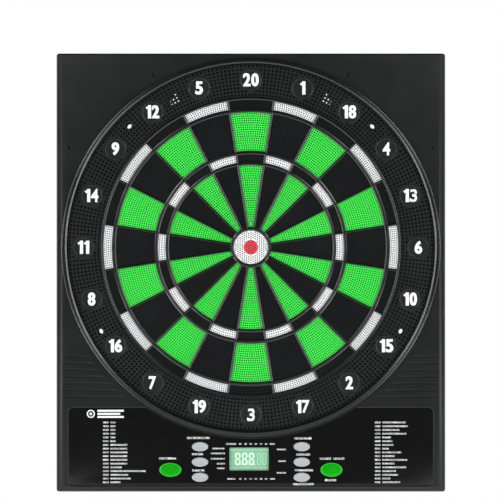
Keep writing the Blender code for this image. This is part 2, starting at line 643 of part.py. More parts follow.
def make_back_cover():
    """Flat rear cover with the battery bay, support ring, keyholes and screw holes."""
    side = HALF_WIDTH - WALL - COVER_GAP
    cover = block("back_cover", (-side, side), (0.0, COVER),
                  (BOTTOM + WALL + COVER_GAP, TOP - WALL - COVER_GAP), PARTS)
    joint = COVER - OVERLAP
    add(cover, block("bay_box", (BAY_X[0] - BAY_WALL, BAY_X[1] + BAY_WALL), (joint, BAY_FLOOR + BAY_WALL),
                     (BAY_Z[0] - BAY_WALL, BAY_Z[1] + BAY_WALL)))
    ring_profile = [(SUPPORT_RING[1], BACKING[0] - GAP), (SUPPORT_RING[1], joint),
                    (SUPPORT_RING[0], joint), (SUPPORT_RING[0], BACKING[0] - GAP)]
    add(cover, turned("support_ring", ring_profile, steps=SECTOR_STEPS))
    cut(cover,
        block("bay_hollow", BAY_X, (DOOR_THICKNESS, BAY_FLOOR), BAY_Z),
        block("door_opening", DOOR_X, (-OVERSHOOT, DOOR_THICKNESS + 0.4), DOOR_Z))
    through = (-OVERSHOOT, COVER + OVERLAP)
    for index, centre in enumerate(mirrored(CASE_SCREWS)):
        cut(cover,
            disc(f"counterbore_{index}", (SCREW_HEAD_RADIUS + 0.4,) * 2, (-OVERSHOOT, SCREW_HEAD[1] + GAP),
                 centre),
            disc(f"cover_bore_{index}", (BOSS_BORE_RADIUS,) * 2, through, centre))
    for index, centre in enumerate(mirrored(WALL_SCREWS)):
        cut(cover, disc(f"cover_wall_bore_{index}", (WALL_SCREW_RADIUS,) * 2, through, centre))
    for index, (x, z) in enumerate(mirrored((KEYHOLE,))):
        slot = KEYHOLE_SLOT_RADIUS
        cut(cover,
            disc(f"keyhole_head_{index}", (KEYHOLE_HEAD_RADIUS,) * 2, through, (x, z)),
            block(f"keyhole_slot_{index}", (x - slot, x + slot), (-OVERLAP, COVER + OVERSHOOT),
                  (z, z + KEYHOLE_RISE)))
    return finish(cover, ABS_BLACK)


def make_battery_parts():
    """Hinged door, three cells and the two contact strips of the bay."""
    door = block("battery_door", (DOOR_X[0] + GAP, DOOR_X[1] - GAP), (0.0, DOOR_THICKNESS),
                 (DOOR_Z[0] + GAP, DOOR_Z[1] - GAP), PARTS)
    hinge_line = centre_matrix(DOOR_X[0] + GAP, 0.0, sum(DOOR_Z) / 2)
    door.data.transform(hinge_line.inverted() @ door.matrix_world)
    door.matrix_world = hinge_line
    finish(door, ABS_BLACK)
    middle_x = sum(BAY_X) / 2
    middle_z = sum(BAY_Z) / 2
    for index in range(3):
        z = middle_z + (index - 1) * CELL_PITCH
        cell = disc(f"battery_cell_{index + 1}", (CELL_RADIUS,) * 2, (0.0, CELL_LENGTH - CELL_SHORTFALL),
                    group=PARTS)
        along_x = Matrix.Rotation(math.radians(90.0), 4, "Y")
        cell.matrix_world = Matrix.Translation(Vector((middle_x, -CELL_HEIGHT, z)) * MM) @ along_x
        end = middle_x + CELL_LENGTH / 2 * (1 if index % 2 else -1)
        nub = disc(f"cell_nub_{index}", (CELL_NUB_RADIUS,) * 2, (0.0, 2 * CELL_NUB_REACH),
                   steps=BOSS_STEPS)
        nub.matrix_world = Matrix.Translation(Vector((end, -CELL_HEIGHT, z)) * MM) @ along_x
        add(cell, nub)
        finish(cell, CELL_JACKET, smooth=True)
    for side, word in ((-1, "left"), (1, "right")):
        wall = middle_x + side * (BAY_X[1] - BAY_X[0] - 2 * GAP) / 2
        span = sorted((wall, wall - side * CONTACT_THICKNESS))
        height = (CELL_HEIGHT - CONTACT_HALF_HEIGHT, CELL_HEIGHT + CONTACT_HALF_HEIGHT)
        strip = block(f"battery_contact_{word}", span, height,
                      (BAY_Z[0] + CONTACT_INSET, BAY_Z[1] - CONTACT_INSET), PARTS)
        finish(strip, STEEL)


def make_case_screws():
    """Self-tapping screws that hold the back cover to the front housing."""
    profile = [(0.0, SCREW_END), (SCREW_SHANK_RADIUS, SCREW_END - 1.5), (SCREW_SHANK_RADIUS, SCREW_HEAD[1]),
               (SCREW_HEAD_RADIUS, SCREW_HEAD[1]), (SCREW_HEAD_RADIUS, SCREW_HEAD[0] + 0.4),
               (SCREW_HEAD_RADIUS - 0.8, SCREW_HEAD[0]), (0.0, SCREW_HEAD[0])]
    for index, centre in enumerate(mirrored(CASE_SCREWS)):
        screw = turned(f"case_screw_{index + 1}", profile, centre, PARTS, steps=12, closed=False)
        finish(screw, STEEL, smooth=True)


make_front_housing()
make_catch_ring()
make_spider()
make_segments()
make_bulls()
make_sensor_stack()
make_fascia()
make_buttons()
make_electronics()
make_back_cover()
make_battery_parts()
make_case_screws()
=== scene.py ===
"""Finish of the electronic dartboard: mouldings, dart holes, print, display and materials.

The board stands as it hangs, with X to the right, Z up and the wall at Y = 0.
Sizes are millimetres, and a height h is measured off the wall towards the player, at Y = -h.
"""
import math
import random

import bpy
from mathutils import Matrix, Vector


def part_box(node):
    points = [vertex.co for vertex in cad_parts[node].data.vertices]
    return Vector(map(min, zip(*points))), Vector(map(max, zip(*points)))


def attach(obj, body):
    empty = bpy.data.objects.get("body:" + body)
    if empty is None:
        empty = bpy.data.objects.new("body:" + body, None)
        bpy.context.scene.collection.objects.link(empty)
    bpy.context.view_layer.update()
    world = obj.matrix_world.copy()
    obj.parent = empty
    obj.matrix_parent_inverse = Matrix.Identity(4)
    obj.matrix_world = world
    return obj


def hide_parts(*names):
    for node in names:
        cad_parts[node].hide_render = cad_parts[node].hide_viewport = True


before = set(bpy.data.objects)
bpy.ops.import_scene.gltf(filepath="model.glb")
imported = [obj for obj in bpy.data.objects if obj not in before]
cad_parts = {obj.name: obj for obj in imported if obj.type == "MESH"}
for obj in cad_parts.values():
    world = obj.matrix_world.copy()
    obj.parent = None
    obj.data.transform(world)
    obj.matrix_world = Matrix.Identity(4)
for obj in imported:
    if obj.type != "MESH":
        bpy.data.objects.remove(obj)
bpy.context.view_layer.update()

MM = 0.001
GAP = 0.3
FACING = (math.radians(90.0), 0.0, 0.0)  # turns a primitive's top towards the player


def reach(node):
    """Extents of a CAD node in millimetres: x, height off the wall and z."""
    low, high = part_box(node)
    return (low.x / MM, high.x / MM), (-high.y / MM, -low.y / MM), (low.z / MM, high.z / MM)


def middle(node):
    """Centre of a CAD node in the front view."""
    x, _, z = reach(node)
    return sum(x) / 2, sum(z) / 2


# Sizes that the frame gives.
HOUSING_X, HOUSING_H, HOUSING_Z = reach("front_housing")
COVER_X, COVER_H, COVER_Z = reach("back_cover")
FASCIA_X, FASCIA_H, FASCIA_Z = reach("console_fascia")
SPIDER_X, SPIDER_H, _ = reach("spider")
LENS_X, LENS_H, LENS_Z = reach("lcd_lens")
DOOR_X, DOOR_H, DOOR_Z = reach("battery_door")
RIM_TOP = HOUSING_H[1]
FACE = RIM_TOP - 4.0
CATCH_FLANGE_RADIUS = reach("catch_ring")[0][1]
SPIDER_FLANGE_RADIUS = SPIDER_X[1]
FASCIA_TOP = FASCIA_H[1]

# Housing.
WALL = 2.6
CORNER_RADIUS = 3.0
FACE_EDGE = 1.9                 # chamfer round the front edge
OPENING_RADIUS = 209.1
BORDER_WIDTH = 5.9              # sloping border down both sides and along the bottom
BORDER_DROP = 1.0
BORDER_TOOL = 4.0               # thickness of the wedge that cuts the border
RIM_SEAT = 212.6                # radius of the bore that the rim is let into
RIM_PROFILE = [(OPENING_RADIUS + 1.5, RIM_TOP - 0.35), (210.9, RIM_TOP), (211.7, RIM_TOP - 0.37),
               (213.4, RIM_TOP - 0.4), (214.2, RIM_TOP - 0.77), (214.5, RIM_TOP - 1.4),
               (215.0, RIM_TOP - 3.7), (215.6, RIM_TOP - 4.2), (215.6, RIM_TOP - 5.4),
               (OPENING_RADIUS, RIM_TOP - 6.0), (OPENING_RADIUS, RIM_TOP - 1.65)]
CONSOLE_X = FASCIA_X[1] + GAP
CONSOLE_Z = (FASCIA_Z[0] - GAP, -182.5)
CONSOLE_CORNER = 5.7
CONSOLE_ARC = 218.2
CONSOLE_LEDGE = FASCIA_H[0] - GAP
CONSOLE_LEDGE_WIDTH = 3.0
CONSOLE_FRAME_BACK = 22.8
CONSOLE_FRAME_TOP = -179.0
CONSOLE_LIP = 0.8               # rounding along the edge of the console recess
SLOT_COUNT = 7
SLOT_TOP = -124.1
SLOT_PITCH = 7.67
SLOT_HEIGHT = 2.4
SLOT_OUTER_X = 212.4
SLOT_ARC = 223.0
SLOT_DEPTH = 0.9
CORNER_PITS = ((110.4, 196.6), (206.8, 114.4))
WALL_SCREWS = ((138.8, 138.2), (171.2, -96.0))
WALL_SCREW_RADIUS = 3.2
KEYHOLE = (87.5, 168.0)
CASE_SCREWS = ((207.0, 206.0), (209.0, -172.0), (125.0, -270.0))
CASE_SCREW_BORE = 1.9

# Catch ring.
CATCH_RADII = (170.8, 208.7)
CATCH_FACE = 27.4
CATCH_BACK = 24.8
CATCH_FLANGE = (22.9, 25.1)
NUMBER_RING_RADIUS = 190.4
NUMBER_DISC_RADIUS = 12.4
NUMBER_DISC_FACE = 28.0
STRAY_ROWS = 9
STRAY_COLUMNS = 14
STRAY_HOLE_RADIUS = 1.2

FIGURE_HEIGHT = 15.0
FIGURE_WIDTH = 8.7
FIGURE_ONE_WIDTH = 6.4
FIGURE_SPACE = 0.6
FIGURE_WEIGHT = 0.045
FIGURE_WEIGHT_PLAIN = 0.03
FIGURE_SPREAD = 1.05

# Console print: two lists as (code x, name x, name lengths), and each caption as (left, right, z).
LIST_TOP = -199.2
LIST_PITCH = 4.25
LIST_HEIGHT = 1.9
LISTS = (
    (-168.1, -159.6, (5.7,) * 6 + (19.0,) * 6 + (13.3, 39.9, 20.0, 22.8, 11.9)),
    (141.1, 149.6, (26.4, 28.9, 19.3, 27.4, 9.7, 11.8, 12.5, 8.0, 21.3, 14.6, 28.4, 14.6, 26.7, 15.1,
                    17.9, 9.0, 20.7)))
MARK_WIDTH = 0.52               # of a printed mark, against its height
MARK_STROKE = 0.24
MARK_GAP = 0.16
MARK_SHAPES = (("left", "top", "foot"), ("left", "right"), ("left", "foot"), ("left", "right", "top"),
               ("right", "top", "foot"))
CAPTION_HEIGHT = 2.4
CAPTIONS = (
    (-104.5, -85.1, -240.0), (-72.6, -46.5, -216.8), (-66.9, -53.3, -235.2), (-66.9, -52.2, -253.7),
    (49.6, 69.4, -217.3), (51.8, 67.2, -235.7), (50.1, 70.6, -253.5), (47.9, 71.7, -269.3),
    (78.5, 92.0, -240.3), (94.0, 106.4, -240.3), (84.2, 97.9, -264.8))
DISPLAY_WORD_HEIGHT = 1.7
DISPLAY_WORDS = (
    (-28.0, -16.8, -223.6), (21.7, 27.4, -223.6), (-26.6, -17.5, -263.3), (21.7, 27.4, -263.3),
    (-43.9, -29.8, -228.8), (-45.5, -29.6, -234.4), (-45.5, -29.6, -240.4), (-38.5, -29.8, -246.1),
    (-38.5, -29.8, -251.3), (29.6, 39.9, -229.9), (31.4, 39.9, -243.1), (29.6, 39.9, -256.5))
DISPLAY_ROW_TOP = -223.6
DISPLAY_ROW_BOTTOM = -263.3
BADGE_CENTRE = (-182.0, -189.4)
CODE_LENGTH = 6.4               # of the short word before each list name
TICK_COUNT = 6
TICK_LEFT = -13.4
TICK_PITCH = 5.9
TICK_LENGTH = 2.8
PRINT_LEVEL = (FASCIA_TOP - 0.05, FASCIA_TOP + 0.03)
LCD_TOP = 24.6
LCD_LEVEL = (LCD_TOP, LCD_TOP + 0.05)
LCD_MIDDLE_Z = -240.9
LCD_FIGURE_HEIGHT = 14.2

# Studio, in metres and watts.
CAMERA_DISTANCE = 2.21          # from the lens to the front face
HANGING_HEIGHT = 1.73           # bull's-eye above the floor
FLOOR_SIZE = 9.0
AMBIENT = 0.06
KEY_POWER = 25.0
FILL_POWER = 19.0
STRIP_POWER = 34.0
GLINT_POWER = 3.0
REAR_POWER = 20.0
FLOOR_POWER = 55.0
FLOOR_LIGHT_Z = -0.6

# Target.
SECTORS = 20
SECTOR_ANGLE = 2 * math.pi / SECTORS
SCORE_ORDER = (20, 1, 18, 4, 13, 6, 10, 15, 2, 17, 3, 19, 7, 16, 8, 11, 14, 9, 12, 5)
ZONES = {"inner_single": (23.3, 93.2), "treble": (97.0, 105.5),
         "outer_single": (109.7, 153.4), "double": (158.0, 167.6)}
BAR_HALF_WIDTH = 1.25
WEB_BACK = 26.2
WEB_TOP = 28.8
WEB_BEVEL = 1.3                 # bevel on the inner side of each ring
WEB_SLOPE = 0.84                # drop of that bevel against its width
SEGMENT_FACE = 27.6
SEGMENT_FLANGE = (24.4, 25.9)
RIB_END = 19.5
HOLE_RADIUS = 0.86
HOLE_TIP = 0.62
HOLE_DEPTH = 2.9
HOLE_MARGIN = 1.25              # from a cell's edge to the middle of its first holes
BULL_HOLE_RADIUS = 19.3
BULL_SPLIT_RADIUS = 8.0
BULL_PITCH = 2.44

ROUND_STEPS = 120
SMOOTH = math.radians(28.0)


# --- working by hand: selection, primitives, joins and cuts -------------------------------

def deselect():
    """Leave edit mode, let go of everything and go back to picking vertices."""
    if bpy.context.object and bpy.context.object.mode != "OBJECT":
        bpy.ops.object.mode_set(mode="OBJECT")
    bpy.ops.object.select_all(action="DESELECT")
    bpy.context.tool_settings.mesh_select_mode = (True, False, False)


def take(*pieces):
    """Select only these pieces; the first becomes the active one."""
    deselect()
    for piece in pieces:
        piece.select_set(True)
    bpy.context.view_layer.objects.active = pieces[0]


def settled(name):
    """Name the piece just added and keep its place in its mesh."""
    piece = bpy.context.object
    piece.name = name
    piece.data.name = name
    bpy.ops.object.transform_apply(location=True, rotation=True, scale=True)
    return piece


def at(x, h, z):
    """Point in metres from x, the height off the wall, and z."""
    return Vector((x, -h, z)) * MM


def add_block(x, h, z, turn=(0.0, 0.0, 0.0)):
    """Cube primitive between two corners, turned about its middle."""
    size = Vector((x[1] - x[0], h[1] - h[0], z[1] - z[0])) * MM
    centre = at(sum(x) / 2, sum(h) / 2, sum(z) / 2)
    bpy.ops.mesh.primitive_cube_add(size=1.0, location=centre, rotation=turn, scale=size)


def block(name, x, h, z, turn=(0.0, 0.0, 0.0)):
    """Box piece between two corners."""
    deselect()
    add_block(x, h, z, turn)
    return settled(name)


def add_rod(radii, h, centre, steps, turn=FACING):
    """Cone primitive that stands off the wall, from its back radius to its front radius."""
    bpy.ops.mesh.primitive_cone_add(vertices=steps, radius1=radii[0] * MM, radius2=radii[1] * MM,
                                    depth=(h[1] - h[0]) * MM, location=at(centre[0], sum(h) / 2, centre[1]),
                                    rotation=turn)


def rod(name, radii, h, centre=(0.0, 0.0), steps=24):
    """Round piece that stands off the wall."""
    deselect()
    add_rod(radii, h, centre, steps)
    return settled(name)


def new_sheet(name):
    """Empty mesh piece in edit mode, ready for primitives to be added to it."""
    deselect()
    bpy.ops.mesh.primitive_plane_add(size=MM)
    piece = settled(name)
    bpy.ops.object.mode_set(mode="EDIT")
    bpy.ops.mesh.select_all(action="SELECT")
    bpy.ops.mesh.delete(type="VERT")
    return piece


def closed_up():
    """Merge what touches, point the faces outwards and leave edit mode."""
    bpy.ops.mesh.select_all(action="SELECT")
    bpy.ops.mesh.remove_doubles(threshold=0.000002)
    bpy.ops.mesh.normals_make_consistent(inside=False)
    bpy.ops.object.mode_set(mode="OBJECT")


def drawn_line(name, points):
    """Draw a line point by point, as by extruding vertices, and stay in edit mode."""
    deselect()
    bpy.ops.mesh.primitive_plane_add(size=MM)
    piece = settled(name)
    bpy.ops.object.mode_set(mode="EDIT")
    bpy.ops.mesh.select_all(action="SELECT")
    bpy.ops.mesh.merge(type="CENTER")
    bpy.ops.transform.translate(value=points[0])
    for before, after in zip(points, points[1:]):
        bpy.ops.mesh.extrude_vertices_move(TRANSFORM_OT_translate={"value": after - before})
    bpy.ops.mesh.select_all(action="SELECT")
    return piece


def turned(name, profile, steps=ROUND_STEPS, centre=(0.0, 0.0), start=0.0, sweep=None):
    """Spin a profile of (radius, height) points clockwise about an axis that stands off the wall.

    A whole turn spins the outline alone; part of a turn spins the filled profile."""
    points = [at(centre[0] + r * math.sin(start), h, centre[1] + r * math.cos(start)) for r, h in profile]
    piece = drawn_line(name, points)
    from_axis_to_axis = profile[0][0] == 0.0 and profile[-1][0] == 0.0
    if sweep or not from_axis_to_axis:
        bpy.ops.mesh.edge_face_add()
    if not sweep and not from_axis_to_axis:
        bpy.ops.mesh.delete(type="ONLY_FACE")
        bpy.ops.mesh.select_all(action="SELECT")
    bpy.ops.mesh.spin(steps=steps, angle=-(sweep or 2 * math.pi), center=at(centre[0], 0.0, centre[1]),
                      axis=(0.0, 1.0, 0.0))
    closed_up()
    return piece


def pick(piece, kind, test):
    """In edit mode, select the edges or faces of a piece that pass a test on their places."""
    take(piece)
    mesh = piece.data
    bpy.context.tool_settings.mesh_select_mode = (False, kind == "edges", kind == "faces")
    for part in (*mesh.vertices, *mesh.edges, *mesh.polygons):
        part.select = False
    for part in getattr(mesh, kind if kind == "edges" else "polygons"):
        part.select = test(*[mesh.vertices[i].co / MM for i in part.vertices])
    bpy.ops.object.mode_set(mode="EDIT")


def soften(piece, test, width, segments=2, profile=0.5):
    """Bevel the edges that pass a test on their two ends."""
    pick(piece, "edges", test)
    bpy.ops.mesh.bevel(offset=width * MM, segments=segments, profile=profile, affect="EDGES")
    bpy.ops.object.mode_set(mode="OBJECT")
    return piece


def upright(a, b):
    """An edge that stands off the wall."""
    return abs(a.y - b.y) > 0.2 and abs(a.x - b.x) + abs(a.z - b.z) < 0.1


def level_at(height):
    """Test for an edge that lies wholly at one height."""
    return lambda a, b: abs(a.y + height) < 0.01 and abs(b.y + height) < 0.01


def joined(name, pieces):
    """Join pieces into one object without merging their surfaces."""
    take(*pieces)
    bpy.ops.object.join()
    return settled(name)


def boolean(piece, tool, operation):
    """Join a tool to a piece or cut the piece with it, then put the tool away."""
    take(piece)
    step = piece.modifiers.new("join_or_cut", "BOOLEAN")
    step.operation = operation
    step.object = tool
    if tool.data.materials:
        step.material_mode = "TRANSFER"
    bpy.ops.object.modifier_apply(modifier=step.name)
    bpy.data.objects.remove(tool, do_unlink=True)
    return piece


def cut(piece, *tools):
    """Cut each tool out of a piece."""
    for tool in tools:
        boolean(piece, tool, "DIFFERENCE")


def add(piece, *tools):
    """Join each tool to a piece."""
    for tool in tools:
        boolean(piece, tool, "UNION")


def twin(piece, name, move):
    """Copy of a piece with its own mesh, moved by a matrix."""
    copy = piece.copy()
    copy.data = piece.data.copy()
    copy.name = name
    copy.data.name = name
    copy.data.transform(move)
    bpy.context.scene.collection.objects.link(copy)
    return copy


def round_turn(angle):
    """Clockwise turn about the bull's-eye, in the front view."""
    return Matrix.Rotation(angle, 4, "Y")


def polar(radius, angle):
    """Point at a radius and a clockwise angle from the top."""
    return radius * math.sin(angle), radius * math.cos(angle)


def mirrored(points):
    """The same places on the right and on the left."""
    return [(side * x, z) for x, z in points for side in (1, -1)]


def finish_piece(piece, body, finish, nodes=(), deep=None):
    """Give a piece its material, shading and body, and hide the CAD nodes it stands for.

    A piece that keeps a second material for its holes, a darker copy of its finish as painted shade, has it
    in its second place."""
    take(piece)
    if deep:
        piece.data.materials[0], piece.data.materials[1] = finish, deep
    else:
        piece.data.materials.clear()
        piece.data.materials.append(finish)
    bpy.ops.object.shade_smooth_by_angle(angle=SMOOTH)
    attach(piece, body)
    if nodes:
        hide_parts(*nodes)
    return piece


def bored(plate, tool):
    """Cut holes whose walls keep a material place of their own, for the darker finish that paints the shade
    in them.
    """
    plate.data.materials.append(PP_WHITE)
    tool.data.materials.append(PP_WHITE_HOLE_SHADE)
    cut(plate, tool)


# --- materials -----------------------------------------------------------------------------

def linear(code):
    """Linear colour from an sRGB hex code."""
    channels = [int(code[i:i + 2], 16) / 255 for i in (0, 2, 4)]
    return (*[c / 12.92 if c <= 0.04045 else ((c + 0.055) / 1.055) ** 2.4 for c in channels], 1.0)


def add_node(tree, kind, inputs, **settings):
    """Add a node with its settings, and its inputs as values or links."""
    node = tree.nodes.new(kind)
    for key, value in settings.items():
        setattr(node, key, value)
    for key, value in inputs.items():
        if isinstance(value, bpy.types.NodeSocket):
            tree.links.new(value, node.inputs[key])
        else:
            node.inputs[key].default_value = value
    return node


def new_finish(name, **sockets):
    """New material, its node tree and its shader with the values that hold all over."""
    finish = bpy.data.materials.new(name)
    finish.use_nodes = True
    tree = finish.node_tree
    shader = tree.nodes["Principled BSDF"]
    for key, value in sockets.items():
        shader.inputs[key.replace("_", " ")].default_value = value
    place = add_node(tree, "ShaderNodeTexCoord", {}).outputs["Object"]
    return finish, tree, shader, place


def tone(tree, shader, share, dark, light):
    """Colour the surface between two shades by a share from 0 to 1."""
    mix = add_node(tree, "ShaderNodeMix", {"Factor": share, "A": linear(dark), "B": linear(light)},
                   data_type="RGBA")
    tree.links.new(mix.outputs["Result"], shader.inputs["Base Color"])


def relief(tree, shader, height, depth):
    """Raise the surface by a height pattern whose full depth is in millimetres."""
    bump = add_node(tree, "ShaderNodeBump", {"Height": height, "Distance": depth * MM, "Strength": 1.0})
    tree.links.new(bump.outputs["Normal"], shader.inputs["Normal"])


def sheen_range(tree, shader, share, low, high):
    """Let the roughness wander between two values."""
    spread = add_node(tree, "ShaderNodeMapRange", {"Value": share, "To Min": low, "To Max": high})
    tree.links.new(spread.outputs["Result"], shader.inputs["Roughness"])


def moulded(name, dark, light, roughness, grain, depth, ior, cloud=30.0):
    """Injection-moulded plastic: the grain of the eroded tool, and faint flow clouds."""
    finish, tree, shader, place = new_finish(name, IOR=ior)
    erosion = add_node(tree, "ShaderNodeTexNoise", {"Vector": place, "Scale": 1 / (grain * MM), "Detail": 3.0,
                                                    "Roughness": 0.6})
    clouds = add_node(tree, "ShaderNodeTexNoise", {"Vector": place, "Scale": 1 / (cloud * MM), "Detail": 4.0,
                                                   "Roughness": 0.55})
    tone(tree, shader, clouds.outputs["Fac"], dark, light)
    sheen_range(tree, shader, clouds.outputs["Fac"], roughness - 0.05, roughness + 0.05)
    relief(tree, shader, erosion.outputs["Fac"], depth)
    return finish


def polypropylene(colour, face, deep, roughness=0.42):
    """Moulded plates, and a darker, matt copy of the same plastic on the walls of their dart holes, which
    paints the shade in the holes.
    """
    return (moulded(f"{colour}_polypropylene", *face, roughness, 0.8, 0.012, 1.49, 60.0),
            moulded(f"{colour}_polypropylene_painted_hole_shade", *deep, 0.60, 0.8, 0.012, 1.49, 60.0))


def zinc_plated_steel():
    """Zinc-plated steel: bright bluish metal with a fine drawn grain."""
    finish, tree, shader, place = new_finish("zinc_plated_steel", Metallic=1.0)
    stretch = add_node(tree, "ShaderNodeMapping", {"Vector": place, "Scale": (1.0, 1.0, 12.0)})
    grain = add_node(tree, "ShaderNodeTexNoise", {"Vector": stretch.outputs["Vector"],
                                                  "Scale": 1 / (1.2 * MM), "Detail": 3.0})
    tone(tree, shader, grain.outputs["Fac"], "A2A5A8", "D2D4D6")
    sheen_range(tree, shader, grain.outputs["Fac"], 0.22, 0.42)
    relief(tree, shader, grain.outputs["Fac"], 0.01)
    return finish


def circuit_board():
    """Glass-epoxy board: green solder mask over copper tracks on a 2.5 mm pitch."""
    finish, tree, shader, place = new_finish("green_solder_mask", IOR=1.55)
    tracks = add_node(tree, "ShaderNodeTexBrick", {"Vector": place, "Scale": 1 / (5.0 * MM),
                                                   "Color1": (0.0, 0.0, 0.0, 1.0),
                                                   "Color2": (0.2, 0.2, 0.2, 1.0),
                                                   "Mortar": (1.0, 1.0, 1.0, 1.0), "Mortar Size": 0.06,
                                                   "Brick Width": 1.5, "Row Height": 0.5})
    tone(tree, shader, tracks.outputs["Color"], "0B4A2A", "2E8A52")
    sheen_range(tree, shader, tracks.outputs["Fac"], 0.30, 0.45)
    relief(tree, shader, tracks.outputs["Color"], 0.03)
    return finish


def printed_film():
    """Polyester film of the switch matrix: silver ink lines on a clear grey sheet."""
    finish, tree, shader, place = new_finish("silver_printed_polyester", IOR=1.57)
    lines = add_node(tree, "ShaderNodeTexWave", {"Vector": place, "Scale": 1 / (20.0 * MM)},
                     wave_type="RINGS", rings_direction="Y")
    tone(tree, shader, lines.outputs["Fac"], "6E7276", "C2C6CA")
    sheen_range(tree, shader, lines.outputs["Fac"], 0.25, 0.45)
    return finish


def clear_acrylic():
    """Cast acrylic window: almost clear, with a hard gloss."""
    finish, tree, shader, place = new_finish("clear_acrylic", IOR=1.49, Alpha=0.10)
    shader.inputs["Base Color"].default_value = linear("DDE8E0")
    haze = add_node(tree, "ShaderNodeTexNoise", {"Vector": place, "Scale": 1 / (3.0 * MM), "Detail": 2.0})
    sheen_range(tree, shader, haze.outputs["Fac"], 0.03, 0.07)
    return finish


def lcd_glass(name, dark, light, glow):
    """Backlit liquid crystal: a green field with the faint mesh of its electrodes."""
    finish, tree, shader, place = new_finish(name, IOR=1.52, Roughness=0.3, Emission_Strength=glow)
    shader.inputs["Emission Color"].default_value = linear(light)
    mesh = add_node(tree, "ShaderNodeTexChecker", {"Vector": place, "Scale": 1 / (0.6 * MM)})
    tone(tree, shader, mesh.outputs["Fac"], dark, light)
    return finish


def gloss_fascia():
    """Gloss polycarbonate, black behind, with polishing haze and fine dust."""
    finish, tree, shader, place = new_finish("gloss_black_polycarbonate", IOR=1.585)
    haze = add_node(tree, "ShaderNodeTexNoise", {"Vector": place, "Scale": 1 / (45.0 * MM), "Detail": 5.0})
    orange_peel = add_node(tree, "ShaderNodeTexNoise", {"Vector": place, "Scale": 1 / (6.0 * MM),
                                                        "Detail": 1.0})
    tone(tree, shader, haze.outputs["Fac"], "0B0B0B", "0F0F10")
    sheen_range(tree, shader, haze.outputs["Fac"], 0.16, 0.24)
    relief(tree, shader, orange_peel.outputs["Fac"], 0.01)
    return finish


def white_ink():
    """Pad-printed white ink: dense and satin, a little thin in places."""
    finish, tree, shader, place = new_finish("white_pad_print", IOR=1.5)
    thin = add_node(tree, "ShaderNodeTexNoise", {"Vector": place, "Scale": 1 / (1.5 * MM), "Detail": 2.0})
    tone(tree, shader, thin.outputs["Fac"], "F4F5F6", "FFFFFF")
    sheen_range(tree, shader, thin.outputs["Fac"], 0.40, 0.55)
    return finish


def cell_jacket():
    """Shrink film round a dry cell: dark blue with a pale band and a gloss skin."""
    finish, tree, shader, place = new_finish("cell_shrink_film", IOR=1.5, Coat_Weight=0.6)
    bands = add_node(tree, "ShaderNodeTexWave", {"Vector": place, "Scale": 1 / (90.0 * MM)},
                     wave_type="BANDS", bands_direction="X")
    tone(tree, shader, bands.outputs["Fac"], "0F1C46", "8C93A4")
    sheen_range(tree, shader, bands.outputs["Fac"], 0.22, 0.34)
    return finish


# Moulded plastics. The tool's grain is finer than the eye can part at arm's length,
# so it is drawn about twice as coarse as the real one.
ABS = moulded("spark_eroded_black_abs", "0F1011", "151617", 0.40, 0.9, 0.012, 1.54)
ABS_POLISHED = moulded("polished_black_abs", "0F1011", "151617", 0.22, 0.9, 0.004, 1.54)
ABS_RING = moulded("deep_black_abs", "101112", "151617", 0.42, 0.9, 0.012, 1.54)
ABS_BACK = moulded("satin_black_abs", "17181A", "1D1E20", 0.46, 1.2, 0.025, 1.54)
WEB_ABS = moulded("glossy_black_abs", "0D0E0F", "131415", 0.28, 1.0, 0.008, 1.54)
# Each plate plastic has a darker copy for the walls of its dart holes: painted shade where the holes are deep
# and narrow.
PP_GREEN, PP_GREEN_HOLE_SHADE = polypropylene("green", ("3AE648", "48F056"), ("0C8A14", "109418"))
PP_BLACK, PP_BLACK_HOLE_SHADE = polypropylene("black", ("0C0E0F", "121415"), ("060607", "09090A"), 0.40)
PP_WHITE, PP_WHITE_HOLE_SHADE = polypropylene("white", ("F4F5F6", "FCFDFE"), ("8A8C8E", "949698"))
PP_RED, PP_RED_HOLE_SHADE = polypropylene("red", ("E4404A", "EC4C56"), ("9A1C26", "A4222C"))
PLATES = {"green": (PP_GREEN, PP_GREEN_HOLE_SHADE), "black": (PP_BLACK, PP_BLACK_HOLE_SHADE),
          "white": (PP_WHITE, PP_WHITE_HOLE_SHADE)}
KEY_GREEN = moulded("green_key_abs", "009E00", "00AA00", 0.28, 0.7, 0.008, 1.54, 12.0)
KEY_GREEN_RIM = moulded("light_green_key_rim", "2FBF2F", "3ACB3A", 0.30, 0.7, 0.008, 1.54, 12.0)
KEY_GREY = moulded("pale_grey_key_abs", "ACB2B6", "B6BCC0", 0.32, 0.7, 0.008, 1.54, 12.0)
SILICONE = moulded("grey_silicone_rubber", "84868A", "94969A", 0.62, 0.5, 0.010, 1.41, 15.0)
RUBBER = moulded("black_sheet_rubber", "0C0C0C", "141414", 0.85, 1.5, 0.080, 1.52, 15.0)
CONE_PAPER = moulded("black_paper_cone", "161616", "222222", 0.80, 0.6, 0.080, 1.40, 8.0)
FASCIA = gloss_fascia()
INK = white_ink()
STEEL = zinc_plated_steel()
BOARD = circuit_board()
FILM = printed_film()
LENS = clear_acrylic()
LCD_FIELD = lcd_glass("green_lcd_field", "5AA878", "7CC496", 0.12)
LCD_MARK = lcd_glass("lit_lcd_marks", "C8F8D8", "E0FFE8", 0.35)
LCD_FAINT = lcd_glass("faint_lcd_marks", "8CD0A2", "A2E0B6", 0.18)
JACKET = cell_jacket()


# --- housing -------------------------------------------------------------------------------

def console_tool(name, outset, h, arc):
    """Console outline as a tool: a rounded box that gives way to the round rim."""
    x = CONSOLE_X + outset
    tool = block(name, (-x, x), h, (CONSOLE_Z[0] - outset, CONSOLE_Z[1] + outset))
    soften(tool, upright, CONSOLE_CORNER + outset * 0.5, segments=6)
    cut(tool, rod("arc", (arc, arc), (h[0] - 1.0, h[1] + 1.0), steps=ROUND_STEPS))
    return tool


